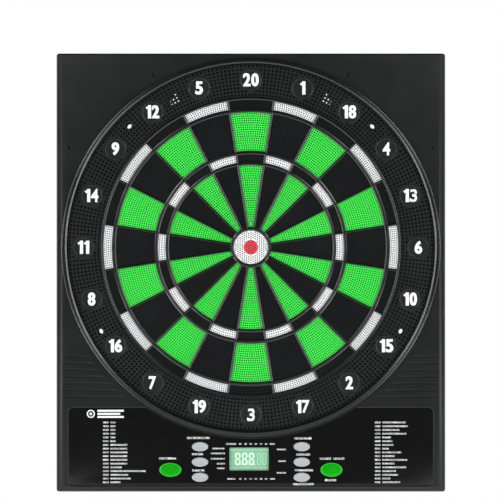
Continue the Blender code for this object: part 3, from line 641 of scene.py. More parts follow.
def make_front_housing():
    """Front moulding: softened slab, round opening with its stepped rim, and console recess."""
    shell = block("front_shell", HOUSING_X, (0.0, FACE), HOUSING_Z)
    soften(shell, upright, CORNER_RADIUS, segments=5)
    soften(shell, level_at(FACE), FACE_EDGE, segments=1)
    inside = HOUSING_X[1] - WALL
    half_step = math.pi / ROUND_STEPS
    cut(shell,
        block("upper_cavity", (-inside, inside), (-1.0, FACE - WALL),
              (CONSOLE_FRAME_TOP, HOUSING_Z[1] - WALL)),
        block("lower_cavity", (-inside, inside), (-1.0, CONSOLE_FRAME_BACK),
              (HOUSING_Z[0] + WALL, CONSOLE_FRAME_TOP + 1.0)),
        rod("flange_room", (CATCH_FLANGE_RADIUS + 0.7,) * 2, (-1.0, FACE - WALL + 0.2), steps=ROUND_STEPS),
        turned("opening", [(0.0, RIM_TOP), (RIM_SEAT, RIM_TOP), (RIM_SEAT, -1.0), (0.0, -1.0)],
               start=half_step))
    cut(shell, *border_tools())
    rim = turned("rim", RIM_PROFILE)
    rim.data.materials.append(ABS_POLISHED)
    shell.data.materials.append(ABS)
    add(shell, rim)
    cut(shell,
        console_tool("console_recess", 0.0, (CONSOLE_LEDGE, FACE + 5.0), CONSOLE_ARC),
        console_lip_tool(),
        console_tool("console_window", -CONSOLE_LEDGE_WIDTH, (CONSOLE_FRAME_BACK - 3.0, FACE),
                     CONSOLE_ARC + CONSOLE_LEDGE_WIDTH + GAP))
    posts = [rod("boss", (4.2, 4.2), (3.3, FACE - 1.5), centre) for centre in mirrored(CASE_SCREWS)]
    add(shell, joined("bosses", posts))
    cut(shell, grille_tool(), pit_tool())
    bores = [rod("bore", (CASE_SCREW_BORE,) * 2, (1.0, 16.0), centre) for centre in mirrored(CASE_SCREWS)]
    jack_x = middle("power_jack")[0]
    jack_h = sum(reach("power_jack")[1]) / 2
    jack_hole = block("jack_hole", (jack_x - 4.2, jack_x + 4.2), (jack_h - 4.2, jack_h + 4.2),
                      (HOUSING_Z[0] - 1.0, HOUSING_Z[0] + 5.0))
    soften(jack_hole, lambda a, b: abs(a.z - b.z) > 1.0, 4.15, segments=6)
    cut(shell, joined("boss_bores", bores), jack_hole)
    finish_piece(shell, "cabinet", ABS, ["front_housing"], ABS_POLISHED)


def border_tools():
    """Wedges that slope the border down both sides and along the bottom, inside an edge bead."""
    slope = math.atan2(BORDER_DROP, BORDER_WIDTH - FACE_EDGE)
    height = (FACE - BORDER_DROP / 2, FACE - BORDER_DROP / 2 + BORDER_TOOL)
    tools = []
    for side in (1, -1):
        ends = sorted(side * (HOUSING_X[1] - inset) for inset in (BORDER_WIDTH + 1.0, FACE_EDGE))
        tools.append(block("side_border", ends, height, (HOUSING_Z[0] - 5.0, HOUSING_Z[1] + 5.0),
                           (0.0, 0.0, side * slope)))
    ends = (HOUSING_Z[0] + FACE_EDGE - 0.6, HOUSING_Z[0] + BORDER_WIDTH)
    tools.append(block("bottom_border", (HOUSING_X[0] + FACE_EDGE, HOUSING_X[1] - FACE_EDGE), height, ends,
                       (slope, 0.0, 0.0)))
    return tools


def console_lip_tool():
    """Wider, shallow console outline whose coved lower edge rounds the recess edge."""
    tool = console_tool("console_lip", CONSOLE_LIP, (FACE - CONSOLE_LIP, FACE + 5.0), CONSOLE_ARC)
    return soften(tool, level_at(FACE - CONSOLE_LIP), CONSOLE_LIP * 0.96, segments=4, profile=0.12)


def grille_tool():
    """Rounded grooves in both lower corners, shorter where the round rim comes near."""
    grooves = []
    for row in range(SLOT_COUNT):
        z = SLOT_TOP - row * SLOT_PITCH
        inner_x = math.sqrt(SLOT_ARC ** 2 - z ** 2)
        for side in (1, -1):
            span = sorted((side * inner_x, side * SLOT_OUTER_X))
            grooves.append(slot_tool(span, z, SLOT_HEIGHT, FACE - SLOT_DEPTH))
            soften(grooves[-1], level_at(FACE - SLOT_DEPTH), SLOT_DEPTH * 0.5, segments=2)
    return joined("grille_grooves", grooves)


def slot_tool(span, z, height, floor):
    """Tool for one groove with round ends."""
    tool = block("slot", span, (floor, FACE + 5.0), (z - height / 2, z + height / 2))
    return soften(tool, upright, height * 0.485, segments=4)


def pit_tool():
    """Small dished pits near the four corners of the round opening."""
    pits = [rod("pit", (1.7, 3.4), (FACE - 1.6, FACE + 0.4), centre) for centre in mirrored(CORNER_PITS)]
    return joined("pits", pits)


# --- catch ring and numbers ----------------------------------------------------------------

def make_catch_ring():
    """One sector of the perforated ring with its number disc, copied round the target."""
    inner, outer = CATCH_RADII
    profile = [(outer - 0.4, CATCH_FACE), (outer, CATCH_FACE - 0.4), (outer, CATCH_FLANGE[1]),
               (CATCH_FLANGE_RADIUS, CATCH_FLANGE[1]), (CATCH_FLANGE_RADIUS, CATCH_FLANGE[0]),
               (outer - 3.0, CATCH_FLANGE[0]), (outer - 3.0, CATCH_BACK), (inner, CATCH_BACK),
               (inner, CATCH_FACE - 0.4), (inner + 0.4, CATCH_FACE)]
    sector = turned("catch_sector", profile, ROUND_STEPS // SECTORS, start=-SECTOR_ANGLE / 2,
                    sweep=SECTOR_ANGLE)
    r = NUMBER_DISC_RADIUS
    disc_profile = [(0.0, NUMBER_DISC_FACE - 0.3), (r - 1.5, NUMBER_DISC_FACE - 0.3),
                    (r - 1.1, NUMBER_DISC_FACE), (r - 0.4, NUMBER_DISC_FACE), (r, NUMBER_DISC_FACE - 0.4),
                    (r, CATCH_BACK + 0.5), (0.0, CATCH_BACK + 0.5)]
    add(sector, turned("number_disc", disc_profile, 48, (0.0, NUMBER_RING_RADIUS)))
    cut(sector, stray_hole_tool())
    half = SECTOR_ANGLE / 2
    pick(sector, "faces", lambda *ends: all(abs(abs(math.atan2(p.x, p.z)) - half) < 0.0003 for p in ends))
    bpy.ops.mesh.delete(type="FACE")
    bpy.ops.object.mode_set(mode="OBJECT")
    copies = [twin(sector, "catch_sector", round_turn(i * SECTOR_ANGLE)) for i in range(1, SECTORS)]
    ring = joined("catch_ring_moulding", [sector, *copies])
    bpy.ops.object.mode_set(mode="EDIT")
    closed_up()
    sleeves = [rod("sleeve", (5.6, 5.6), (13.5, CATCH_FACE - 0.8), centre)
               for centre in mirrored(WALL_SCREWS)]
    bores = [rod("sleeve_bore", (WALL_SCREW_RADIUS,) * 2, (-1.0, RIM_TOP), centre)
             for centre in mirrored(WALL_SCREWS)]
    add(ring, joined("sleeves", sleeves))
    cut(ring, joined("sleeve_bores", bores))
    finish_piece(ring, "cabinet", ABS_RING, ["catch_ring"])


def stray_hole_tool():
    """Grid of through holes in one sector that catches stray darts, clear of the number disc."""
    tool = new_sheet("stray_holes")
    step = SECTOR_ANGLE / STRAY_COLUMNS
    pitch = (CATCH_RADII[1] - CATCH_RADII[0] - 2 * 2.6) / (STRAY_ROWS - 1)
    clear = NUMBER_DISC_RADIUS + STRAY_HOLE_RADIUS + 0.4
    for row in range(STRAY_ROWS):
        for column in range(STRAY_COLUMNS):
            radius = CATCH_RADII[0] + 2.6 + row * pitch
            x, z = polar(radius, (column - (STRAY_COLUMNS - 1) / 2) * step)
            if math.hypot(x, z - NUMBER_RING_RADIUS) > clear:
                add_rod((STRAY_HOLE_RADIUS * 0.6, STRAY_HOLE_RADIUS), (CATCH_BACK - 0.5, CATCH_FACE + 0.2),
                        (x, z), 8)
    bpy.ops.object.mode_set(mode="OBJECT")
    return tool


def figure(digit):
    """Heavy upright figure, drawn flat at its own size with its foot at the origin."""
    deselect()
    if digit == "1":
        stem = block("stem", (2.4, 5.6), (0.0, 1.0), (0.0, FIGURE_HEIGHT))
        flag = block("flag", (0.4, 3.6), (0.1, 0.9), (FIGURE_HEIGHT - 4.1, FIGURE_HEIGHT - 1.6),
                     (0.0, math.radians(-28.0), 0.0))
        return boolean(stem, flag, "UNION")
    bpy.ops.object.text_add(rotation=FACING)
    text = bpy.context.object
    text.data.body = "6" if digit == "9" else digit
    text.data.size = FIGURE_HEIGHT * MM * 1.4
    text.data.offset = (FIGURE_WEIGHT if digit in "69" else FIGURE_WEIGHT_PLAIN) * text.data.size
    text.data.extrude = 0.5 * MM
    text.data.resolution_u = 5
    bpy.ops.object.convert(target="MESH")
    piece = settled("figure")
    bpy.ops.object.mode_set(mode="EDIT")
    closed_up()
    if digit == "9":
        piece.data.transform(Matrix.Rotation(math.pi, 4, "Y"))
    if digit not in "14679":
        shifted = twin(piece, "figure", Matrix.Translation(at(FIGURE_SPREAD, 0.0, 0.0)))
        boolean(piece, shifted, "UNION")
    return piece


def fitted(piece, x, z, h):
    """Stretch a flat figure to fill a box in the front view, standing between two heights."""
    places = [v.co / MM for v in piece.data.vertices]
    low = Vector([min(p[i] for p in places) for i in range(3)])
    high = Vector([max(p[i] for p in places) for i in range(3)])
    size = Vector((x[1] - x[0], h[1] - h[0], z[1] - z[0]))
    stretch = Matrix.Diagonal((*[size[i] / (high[i] - low[i]) for i in range(3)], 1.0))
    piece.data.transform(Matrix.Translation(at(x[0], h[1], z[0])) @ stretch @ Matrix.Translation(-low * MM))


def make_numbers():
    """White printed score numbers, upright on their discs."""
    for index, score in enumerate(SCORE_ORDER):
        centre_x, centre_z = polar(NUMBER_RING_RADIUS, index * SECTOR_ANGLE)
        digits = str(score)
        widths = [FIGURE_ONE_WIDTH if d == "1" else FIGURE_WIDTH for d in digits]
        left = centre_x - (sum(widths) + FIGURE_SPACE * (len(digits) - 1)) / 2
        figures = []
        for digit, width in zip(digits, widths):
            figures.append(figure(digit))
            base = NUMBER_DISC_FACE - 0.35
            fitted(figures[-1], (left, left + width), (centre_z - FIGURE_HEIGHT / 2,
                   centre_z + FIGURE_HEIGHT / 2), (base, NUMBER_DISC_FACE - 0.12))
            left += width + FIGURE_SPACE
        finish_piece(joined(f"number_{score:02d}", figures), "cabinet", INK)


# --- target --------------------------------------------------------------------------------

def web_ring(inner, outer):
    """Ring of the spider: a wide bevel that faces the bull's-eye and a narrow one outside."""
    bevel = min(WEB_BEVEL, (outer - inner) * 0.45)
    drop = bevel * WEB_SLOPE
    profile = [(inner, WEB_TOP - drop), (inner + bevel, WEB_TOP), (outer - 0.9, WEB_TOP - 0.3),
               (outer, WEB_TOP - 0.9), (outer, WEB_BACK), (inner, WEB_BACK)]
    return turned("web_ring", profile)


def make_spider():
    """Web of ridged bars and rings that divides the target."""
    edges = [(BULL_HOLE_RADIUS, ZONES["inner_single"][0]), (ZONES["inner_single"][1], ZONES["treble"][0]),
             (ZONES["treble"][1], ZONES["outer_single"][0]), (ZONES["outer_single"][1], ZONES["double"][0])]
    rim_inner, rim_outer = ZONES["double"][1], 170.4
    rim_profile = [(rim_inner, SPIDER_H[1] - WEB_BEVEL * WEB_SLOPE), (rim_inner + WEB_BEVEL, SPIDER_H[1]),
                   (rim_outer - 0.6, SPIDER_H[1]), (rim_outer, SPIDER_H[1] - 0.5), (rim_outer, 24.5),
                   (SPIDER_FLANGE_RADIUS - 0.4, 24.5), (SPIDER_FLANGE_RADIUS - 0.4, SPIDER_H[0]),
                   (rim_inner, SPIDER_H[0])]
    rings = [web_ring(*pair) for pair in edges] + [turned("spider_rim", rim_profile)]
    web = joined("spider_web", rings)
    bar = block("bar", (-BAR_HALF_WIDTH, BAR_HALF_WIDTH), (WEB_BACK + 0.1, WEB_TOP - 0.12),
                (BULL_HOLE_RADIUS + 1.5, rim_inner + 1.0))
    along = lambda a, b: level_at(WEB_TOP - 0.12)(a, b) and abs(a.z - b.z) > 50.0
    soften(bar, along, BAR_HALF_WIDTH - 0.15, segments=1)
    bar.data.transform(round_turn(SECTOR_ANGLE / 2))
    bars = [twin(bar, "bar", round_turn(i * SECTOR_ANGLE)) for i in range(1, SECTORS)]
    add(web, joined("bars", [bar, *bars]))
    finish_piece(web, "cabinet", WEB_ABS, ["spider"])


def dart_hole(x, z):
    """Tapered dart hole as a tool, added in edit mode."""
    add_rod((HOLE_TIP, HOLE_RADIUS), (SEGMENT_FACE - HOLE_DEPTH, SEGMENT_FACE + 0.02), (x, z), 6)


def dart_hole_rows(zone, rows, pitch):
    """Concentric rows of dart holes that fill one cell, each row as long as the cell is wide."""
    inner, outer = ZONES[zone]
    tool = new_sheet("dart_holes")
    gap = (outer - inner - 2 * GAP - 2 * HOLE_MARGIN) / (rows - 1)
    for row in range(rows):
        radius = inner + GAP + HOLE_MARGIN + row * gap
        reach_angle = SECTOR_ANGLE / 2 - math.asin((BAR_HALF_WIDTH + GAP + HOLE_MARGIN) / radius)
        count = max(2, round(2 * reach_angle * radius / pitch) + 1)
        dart_hole(*polar(radius, -reach_angle))
        bpy.ops.mesh.spin(steps=count - 1, dupli=True, angle=-2 * reach_angle, center=(0.0, 0.0, 0.0),
                          axis=(0.0, 1.0, 0.0))
    bpy.ops.object.mode_set(mode="OBJECT")
    return tool


def cell_plate(name, inner, outer, h, side, edge=0.0):
    """Plate of one cell: a spun arc with its sides cut parallel to the sector's edges."""
    profile = [(outer, h[1]), (outer, h[0]), (inner, h[0]), (inner, h[1])]
    half = SECTOR_ANGLE / 2
    plate = turned(name, profile, 12, start=-half, sweep=2 * half)
    for sign in (1, -1):
        take(plate)
        bpy.ops.object.mode_set(mode="EDIT")
        bpy.ops.mesh.select_all(action="SELECT")
        across = Vector((sign * math.cos(half), 0.0, -math.sin(half)))
        bpy.ops.mesh.bisect(plane_co=-across * side * MM, plane_no=across, use_fill=True,
                            clear_outer=True)
        bpy.ops.object.mode_set(mode="OBJECT")
    if edge:
        soften(plate, level_at(h[1]), edge, segments=2)
    return plate


def make_cell_pattern(zone, rows, pitch):
    """One cell of the sector at the top: face plate, captive flange, rib and dart holes."""
    inner, outer = ZONES[zone]
    plate = cell_plate(zone, inner + GAP, outer - GAP, (SEGMENT_FLANGE[1] - 0.5, SEGMENT_FACE),
                       BAR_HALF_WIDTH + GAP)
    grip = 0.9
    add(plate, cell_plate("flange", inner - grip, min(outer + grip, ZONES["double"][1] - GAP),
                          SEGMENT_FLANGE, 0.5))
    add(plate, block("rib", (-1.2, 1.2), (RIB_END, SEGMENT_FLANGE[0] + 0.5),
                     (inner + 0.2 * (outer - inner), outer - 0.2 * (outer - inner))))
    bored(plate, dart_hole_rows(zone, rows, pitch))
    return plate


def make_target():
    """Four sprung plates for each number, in the four colours of the target."""
    rows = {"inner_single": (27, 2.45), "treble": (3, 2.5), "outer_single": (17, 2.5), "double": (4, 2.5)}
    for zone, (count, pitch) in rows.items():
        pattern = make_cell_pattern(zone, count, pitch)
        for index, score in enumerate(SCORE_ORDER):
            name = f"segment_{score:02d}"
            single = zone.endswith("single")
            if index % 2:
                finish = "black" if single else "white"
            else:
                finish = "green" if single else "black"
            copy = twin(pattern, f"{zone}_{score:02d}", round_turn(index * SECTOR_ANGLE))
            # The second finish darkens the dart-hole walls as painted shade.
            finish_piece(copy, name, PLATES[finish][0], [name], PLATES[finish][1])
        bpy.data.objects.remove(pattern, do_unlink=True)


def bull_holes(inner, outer):
    """Staggered dart holes between two radii round the bull's-eye."""
    tool = new_sheet("bull_holes")
    reach_count = int(outer / BULL_PITCH) + 1
    for column in range(-reach_count, reach_count + 1):
        for row in range(-reach_count, reach_count + 1):
            x, z = column * BULL_PITCH, (row + 0.5 * (column % 2)) * BULL_PITCH
            if inner < math.hypot(x, z) < outer:
                dart_hole(x, z)
    bpy.ops.object.mode_set(mode="OBJECT")
    return tool


def make_bulls():
    """White ring and red middle of the bull's-eye."""
    split, edge = BULL_SPLIT_RADIUS + GAP, BULL_HOLE_RADIUS - GAP
    ring_profile = [(edge - 0.3, SEGMENT_FACE), (edge, SEGMENT_FACE - 0.3), (edge, SEGMENT_FLANGE[1]),
                    (22.4, SEGMENT_FLANGE[1]), (22.4, SEGMENT_FLANGE[0]), (split, SEGMENT_FLANGE[0]),
                    (split, SEGMENT_FACE - 0.3), (split + 0.3, SEGMENT_FACE)]
    ring = turned("bull_ring", ring_profile, 80)
    legs = [rod("leg", (2.0, 2.0), (RIB_END, SEGMENT_FLANGE[0] + 0.4), polar(16.0, i * 2 * math.pi / 3))
            for i in range(3)]
    add(ring, joined("legs", legs))
    bored(ring, bull_holes(split + 1.2, edge - 1.2))
    # The darker second finish paints the shade in the dart holes.
    finish_piece(ring, "bull_outer", PP_WHITE, ["bull_outer"], PP_WHITE_HOLE_SHADE)
    r = BULL_SPLIT_RADIUS
    eye_profile = [(0.0, SEGMENT_FACE), (r - 0.4, SEGMENT_FACE), (r, SEGMENT_FACE - 0.4), (r, 23.0),
                   (10.4, 23.0), (10.4, 21.8), (2.5, 21.8), (2.5, RIB_END), (0.0, RIB_END)]
    eye = turned("bull_eye", eye_profile, 64)
    bored(eye, bull_holes(-1.0, r - 1.2))
    # The darker second finish paints the shade in the dart holes.
    finish_piece(eye, "bull_inner", PP_RED, ["bull_inner"], PP_RED_HOLE_SHADE)


# --- console -------------------------------------------------------------------------------

BUTTONS = ["start_button_left", "start_button_right"] + [
    f"option_button_{side}_{row}" for side in ("left", "right") for row in ("top", "middle", "bottom")]


def cap_size(node):
    """Half width and half height of a button's cap, which its flange exceeds all round."""
    x, _, z = reach(node)
    spare = 1.3 + GAP
    return (x[1] - x[0]) / 2 - spare, (z[1] - z[0]) / 2 - spare


def oval_tool(node, spare, h):
    """Oval tool round a button's cap."""
    half = cap_size(node)
    x, z = middle(node)
    tool = rod("oval", (1.0, 1.0), h, steps=56)
    stretch = Matrix.Diagonal((half[0] + spare, 1.0, half[1] + spare, 1.0))
    tool.data.transform(Matrix.Translation(at(x, 0.0, z)) @ stretch)
    return tool


def make_fascia():
    """Gloss console plate with softened edges, oval button holes and the display window."""
    plate = block("fascia_plate", FASCIA_X, FASCIA_H, FASCIA_Z)
    soften(plate, upright, CONSOLE_CORNER - GAP, segments=6)
    soften(plate, level_at(FASCIA_TOP), 0.3, segments=2)
    arc = CONSOLE_ARC + GAP
    cut(plate, rod("arc", (arc, arc), (FASCIA_H[0] - 1.0, FASCIA_TOP + 1.0), steps=ROUND_STEPS))
    holes = [oval_tool(node, GAP, (FASCIA_H[0] - 1.0, FASCIA_TOP + 1.0)) for node in BUTTONS]
    window = block("window", (LENS_X[0] - GAP, LENS_X[1] + GAP), (FASCIA_H[0] - 1.0, FASCIA_TOP + 1.0),
                   (LENS_Z[0] - GAP, LENS_Z[1] + GAP))
    soften(window, upright, 0.8, segments=3)
    cut(plate, joined("button_holes", holes), window)
    finish_piece(plate, "cabinet", FASCIA, ["console_fascia"])


def make_button(node, crown, finish, rim_finish=None):
    """Oval button: turned stem, flange and crown, drawn out to its width and height."""
    half = cap_size(node)
    _, h, _ = reach(node)
    top = h[1]
    cap = half[0]
    profile = [(0.0, h[0]), (3.0, h[0]), (3.0, 23.9), (cap + 1.3, 23.9), (cap + 1.3, 24.9), (cap, 24.9),
               (cap, top - 1.3), (cap - 0.25, top - 0.85)]
    profile += [(cap - inset * cap, top - drop) for inset, drop in crown]
    button = turned(node + "_cap", profile[::-1], 56)
    x, z = middle(node)
    button.data.transform(Matrix.Translation(at(x, 0.0, z)) @ Matrix.Diagonal((1.0, 1.0, half[1] / cap, 1.0)))
    finish_piece(button, node, finish, [node])
    if rim_finish:
        button.data.materials.append(rim_finish)
        for face in button.data.polygons:
            reach_out = math.hypot((face.center.x / MM - x) / cap, (face.center.z / MM - z) / half[1])
            if -face.center.y / MM > top - 0.9 and reach_out > 0.88:
                face.material_index = 1
    return button


def make_buttons():
    """Domed green start buttons and dished grey option buttons."""
    domed = [(0.05, 0.5), (0.12, 0.55), (0.16, 0.45), (0.35, 0.18), (0.6, 0.05), (1.0, 0.0)]
    dished = [(0.06, 0.25), (0.12, 0.05), (0.18, 0.0), (0.28, 0.12), (0.55, 0.5), (1.0, 0.7)]
    for node in BUTTONS:
        if node.startswith("start"):
            make_button(node, domed, KEY_GREEN, KEY_GREEN_RIM)
        else:
            make_button(node, dished, KEY_GREY)


def add_word(left, right, z, height):
    """Row of plain strokes that stands for a word: each mark is two or three bars of a small box."""
    width, stroke = height * MARK_WIDTH, height * MARK_STROKE
    low, high = z - height / 2, z + height / 2
    x = left
    while x < right - stroke:
        end = min(x + width, right)
        bars = {"left": ((x, x + stroke), (low, high)), "right": ((end - stroke, end), (low, high)),
                "top": ((x, end), (high - stroke, high)), "foot": ((x, end), (low, low + stroke))}
        for side in random.choice(MARK_SHAPES):
            add_block(bars[side][0], PRINT_LEVEL, bars[side][1])
        x = end + height * MARK_GAP


def make_print():
    """Plain white marks in place of the fascia's print: two lists, key captions and scale ticks."""
    random.seed(7)
    sheet = new_sheet("fascia_print")
    for first_x, name_x, widths in LISTS:
        for row, width in enumerate(widths):
            z = LIST_TOP - row * LIST_PITCH
            add_word(first_x, first_x + CODE_LENGTH, z, LIST_HEIGHT)
            add_word(name_x, name_x + width, z, LIST_HEIGHT)
    for left, right, z in CAPTIONS:
        add_word(left, right, z, CAPTION_HEIGHT)
    for left, right, z in DISPLAY_WORDS:
        add_word(left, right, z, DISPLAY_WORD_HEIGHT)
    for z in (DISPLAY_ROW_TOP, DISPLAY_ROW_BOTTOM):
        for tick in range(TICK_COUNT):
            x = TICK_LEFT + tick * TICK_PITCH
            add_word(x, x + TICK_LENGTH, z, DISPLAY_WORD_HEIGHT)
    bpy.ops.object.mode_set(mode="OBJECT")
    finish_piece(sheet, "cabinet", INK)


def make_badge():
    """Generic badge in the corner of the fascia: a small target and three plain bars."""
    height = PRINT_LEVEL
    x, z = BADGE_CENTRE
    ring = turned("badge", [(4.6, height[1]), (4.6, height[0]), (3.3, height[0]), (3.3, height[1])], 48,
                  (x, z))
    dot = rod("dot", (1.5, 1.5), height, (x, z), 32)
    bars = [block("bar", (x + 7.5, x + 7.5 + length), height, (z + rise - 1.1, z + rise + 1.1))
            for rise, length in ((3.5, 30.0), (0.0, 26.0), (-3.5, 30.0))]
    for bar in bars:
        soften(bar, upright, 1.0, segments=3)
    finish_piece(joined("fascia_badge", [ring, dot, *bars]), "cabinet", INK)


def add_figure_eight(x, z, width, height, stroke):
    """All seven bars of one display figure, round its centre."""
    half_w, half_h = width / 2, height / 2
    for rise in (-1, 0, 1):
        middle_z = z + rise * (half_h - stroke / 2)
        add_block((x - half_w + stroke * 0.6, x + half_w - stroke * 0.6), LCD_LEVEL,
                  (middle_z - stroke / 2, middle_z + stroke / 2))
    for side in (-1, 1):
        middle_x = x + side * (half_w - stroke / 2)
        for rise in (-1, 1):
            ends = sorted((z + rise * stroke * 0.7, z + rise * (half_h - stroke * 0.7)))
            add_block((middle_x - stroke / 2, middle_x + stroke / 2), LCD_LEVEL, ends)


def make_display():
    """Display: a framed green glass under a clear window, with lit and faint marks."""
    x, h, z = reach("lcd_module")
    frame_piece = block("display_frame", x, (h[0], h[1]), z)
    soften(frame_piece, upright, 1.0, segments=3)
    cut(frame_piece, block("glass_seat", (x[0] + 2.0, x[1] - 2.0), (LCD_TOP - 1.0, h[1] + 1.0),
                           (z[0] + 2.0, z[1] - 2.0)))
    finish_piece(frame_piece, "cabinet", ABS, ["lcd_module"])
    glass = block("display_glass", (x[0] + 2.1, x[1] - 2.1), (LCD_TOP - 0.9, LCD_TOP),
                  (z[0] + 2.1, z[1] - 2.1))
    soften(glass, level_at(LCD_TOP), 0.2, segments=1)
    finish_piece(glass, "cabinet", LCD_FIELD)
    lit = new_sheet("display_figures")
    for index in range(3):
        add_figure_eight(-15.0 + index * 7.9, LCD_MIDDLE_Z, 6.2, LCD_FIGURE_HEIGHT, 1.7)
        add_block((-11.4 + index * 7.9, -10.5 + index * 7.9), LCD_LEVEL, (-248.0, -246.9))
    bpy.ops.object.mode_set(mode="OBJECT")
    finish_piece(lit, "cabinet", LCD_MARK)
    faint = new_sheet("display_icons")
    for index in range(2):
        add_figure_eight(9.4 + index * 6.0, LCD_MIDDLE_Z, 4.7, LCD_FIGURE_HEIGHT, 1.2)
    for index in range(17):
        left = LENS_X[0] + 1.6 + index * 2.5
        for low, high in ((-231.9, -229.6), (-252.2, -250.2)):
            add_block((left, left + 1.5), LCD_LEVEL, (low, high))
    bpy.ops.object.mode_set(mode="OBJECT")
    finish_piece(faint, "cabinet", LCD_FAINT)
    lens = block("display_window", LENS_X, LENS_H, LENS_Z)
    soften(lens, upright, 0.5, segments=2)
    soften(lens, level_at(LENS_H[1]), 0.2, segments=2)
    finish_piece(lens, "cabinet", LENS, ["lcd_lens"])


# --- back and bay --------------------------------------------------------------------------

def make_back_cover():
    """Rear cover: softened plate with ribbed fields, battery bay, keyholes and screw holes."""
    plate = block("rear_cover", COVER_X, (0.0, 3.0), COVER_Z)
    soften(plate, upright, 2.0, segments=4)
    soften(plate, level_at(0.0), 0.6, segments=2)
    door_x, door_z = (DOOR_X[0] - GAP, DOOR_X[1] + GAP), (DOOR_Z[0] - GAP, DOOR_Z[1] + GAP)
    bay_x, bay_z = (door_x[0] + 1.0, door_x[1] - 1.0), (door_z[0] + 1.0, door_z[1] - 1.0)
    add(plate,
        block("bay_box", (bay_x[0] - 1.8, bay_x[1] + 1.8), (2.0, COVER_H[1]),
              (bay_z[0] - 1.8, bay_z[1] + 1.8)),
        turned("support_ring", [(142.4, 12.3), (142.4, 2.0), (140.0, 2.0), (140.0, 12.3)]))
    cut(plate,
        block("bay_hollow", bay_x, (DOOR_H[1], COVER_H[1] - 1.8), bay_z),
        block("door_seat", door_x, (-1.0, DOOR_H[1] + 0.4), door_z),
        rib_field_tool())
    holes = []
    for centre in mirrored(CASE_SCREWS):
        holes.append(boolean(rod("counterbore", (3.4, 3.4), (-1.0, 1.9), centre),
                             rod("bore", (CASE_SCREW_BORE,) * 2, (-0.9, 4.0), centre), "UNION"))
    holes += [rod("wall_bore", (WALL_SCREW_RADIUS,) * 2, (-1.0, 4.0), centre)
              for centre in mirrored(WALL_SCREWS)]
    for x, z in mirrored((KEYHOLE,)):
        slot = block("keyhole_slot", (x - 2.6, x + 2.6), (-1.5, 4.5), (z, z + 10.0))
        holes.append(boolean(rod("keyhole_head", (5.0, 5.0), (-1.0, 4.0), (x, z), 32), slot, "UNION"))
    cut(plate, joined("cover_holes", holes))
    finish_piece(plate, "cabinet", ABS_BACK, ["back_cover"])


def rib_field_tool():
    """Shallow fields that leave radial and straight ribs standing on the rear face."""
    depth = (-1.0, 0.8)
    fields = [rod("hub_field", (26.0, 26.0), depth, steps=48)]
    count = 12
    sweep = 2 * math.pi / count - math.radians(3.0)
    for index in range(count):
        profile = [(128.0, depth[1]), (128.0, depth[0]), (34.0, depth[0]), (34.0, depth[1])]
        fields.append(turned("field", profile, 8, start=index * 2 * math.pi / count, sweep=sweep))
    for z in (196.0, -188.0):
        for x in (-60.0, 0.0, 60.0):
            fields.append(block("straight_field", (x - 26.0, x + 26.0), depth, (z - 10.0, z + 10.0)))
    for x in (-196.0, 196.0):
        for z in (-24.0, 24.0, 72.0):
            fields.append(block("side_field", (x - 11.0, x + 11.0), depth, (z - 20.0, z + 20.0)))
    for field in fields[count + 1:]:
        soften(field, upright, 3.0, segments=4)
    return joined("rib_fields", fields)


def make_battery_door():
    """Door with softened edges, a finger scoop and grip ridges."""
    door = block("bay_door", DOOR_X, DOOR_H, DOOR_Z)
    soften(door, upright, 1.2, segments=3)
    soften(door, level_at(0.0), 0.4, segments=2)
    x, z = DOOR_X[1] - 8.0, sum(DOOR_Z) / 2
    scoop = turned("scoop", [(0.0, -0.5), (7.0, -0.5), (6.0, 0.5), (4.0, 1.1), (0.0, 1.3)][::-1], 40, (x, z))
    cut(door, scoop)
    grooves = [block("groove", (x - 15.0 - 2.2 * i, x - 14.0 - 2.2 * i), (-0.5, 0.5), (z - 9.0, z + 9.0))
               for i in range(5)]
    cut(door, joined("grooves", grooves))
    finish_piece(door, "battery_door", ABS_BACK, ["battery_door"])


def make_cells():
    """Three dry cells: crimped jackets with a raised terminal at one end."""
    for index in range(1, 4):
        node = f"battery_cell_{index}"
        x, h, z = reach(node)
        radius = (z[1] - z[0]) / 2
        flip = -1.0 if index % 2 else 1.0
        long = x[1] - x[0]
        profile = [(0.0, long), (2.5, long), (2.6, long - 0.3), (2.6, long - 2.0), (6.0, long - 2.0),
                   (6.2, long - 2.4), (radius - 0.2, long - 2.4), (radius, long - 2.8), (radius, 0.5),
                   (radius - 0.4, 0.2), (radius - 1.0, 0.3), (5.4, 0.0), (0.0, 0.0)]
        cell = turned(f"cell_{index}", profile, 40)
        lay = Matrix.Rotation(math.radians(90.0) * flip, 4, "Z")
        start = x[0] if flip > 0 else x[1]
        cell.data.transform(Matrix.Translation(at(start, sum(h) / 2, sum(z) / 2)) @ lay)
        finish_piece(cell, "cabinet", JACKET, [node])


def make_screws():
    """Pan-head screws with a cross recess, sunk in the rear cover."""
    profile = [(0.0, 13.0), (1.3, 11.5), (1.3, 1.6), (3.0, 1.6), (3.0, 0.9), (2.6, 0.5), (1.6, 0.4),
               (0.0, 0.4)]
    screw = turned("screw", profile, 32)
    recess = boolean(block("recess_bar", (-1.7, 1.7), (-0.5, 1.2), (-0.35, 0.35)),
                     block("recess_bar", (-0.35, 0.35), (-0.6, 1.2), (-1.7, 1.7)), "UNION")
    cut(screw, recess)
    for index in range(1, 7):
        node = f"case_screw_{index}"
        x, z = middle(node)
        spin = Matrix.Rotation(math.radians(37.0 * index), 4, "Y")
        copy = twin(screw, f"screw_{index}", Matrix.Translation(at(x, 0.0, z)) @ spin)
        finish_piece(copy, "cabinet", STEEL, [node])
    bpy.data.objects.remove(screw, do_unlink=True)


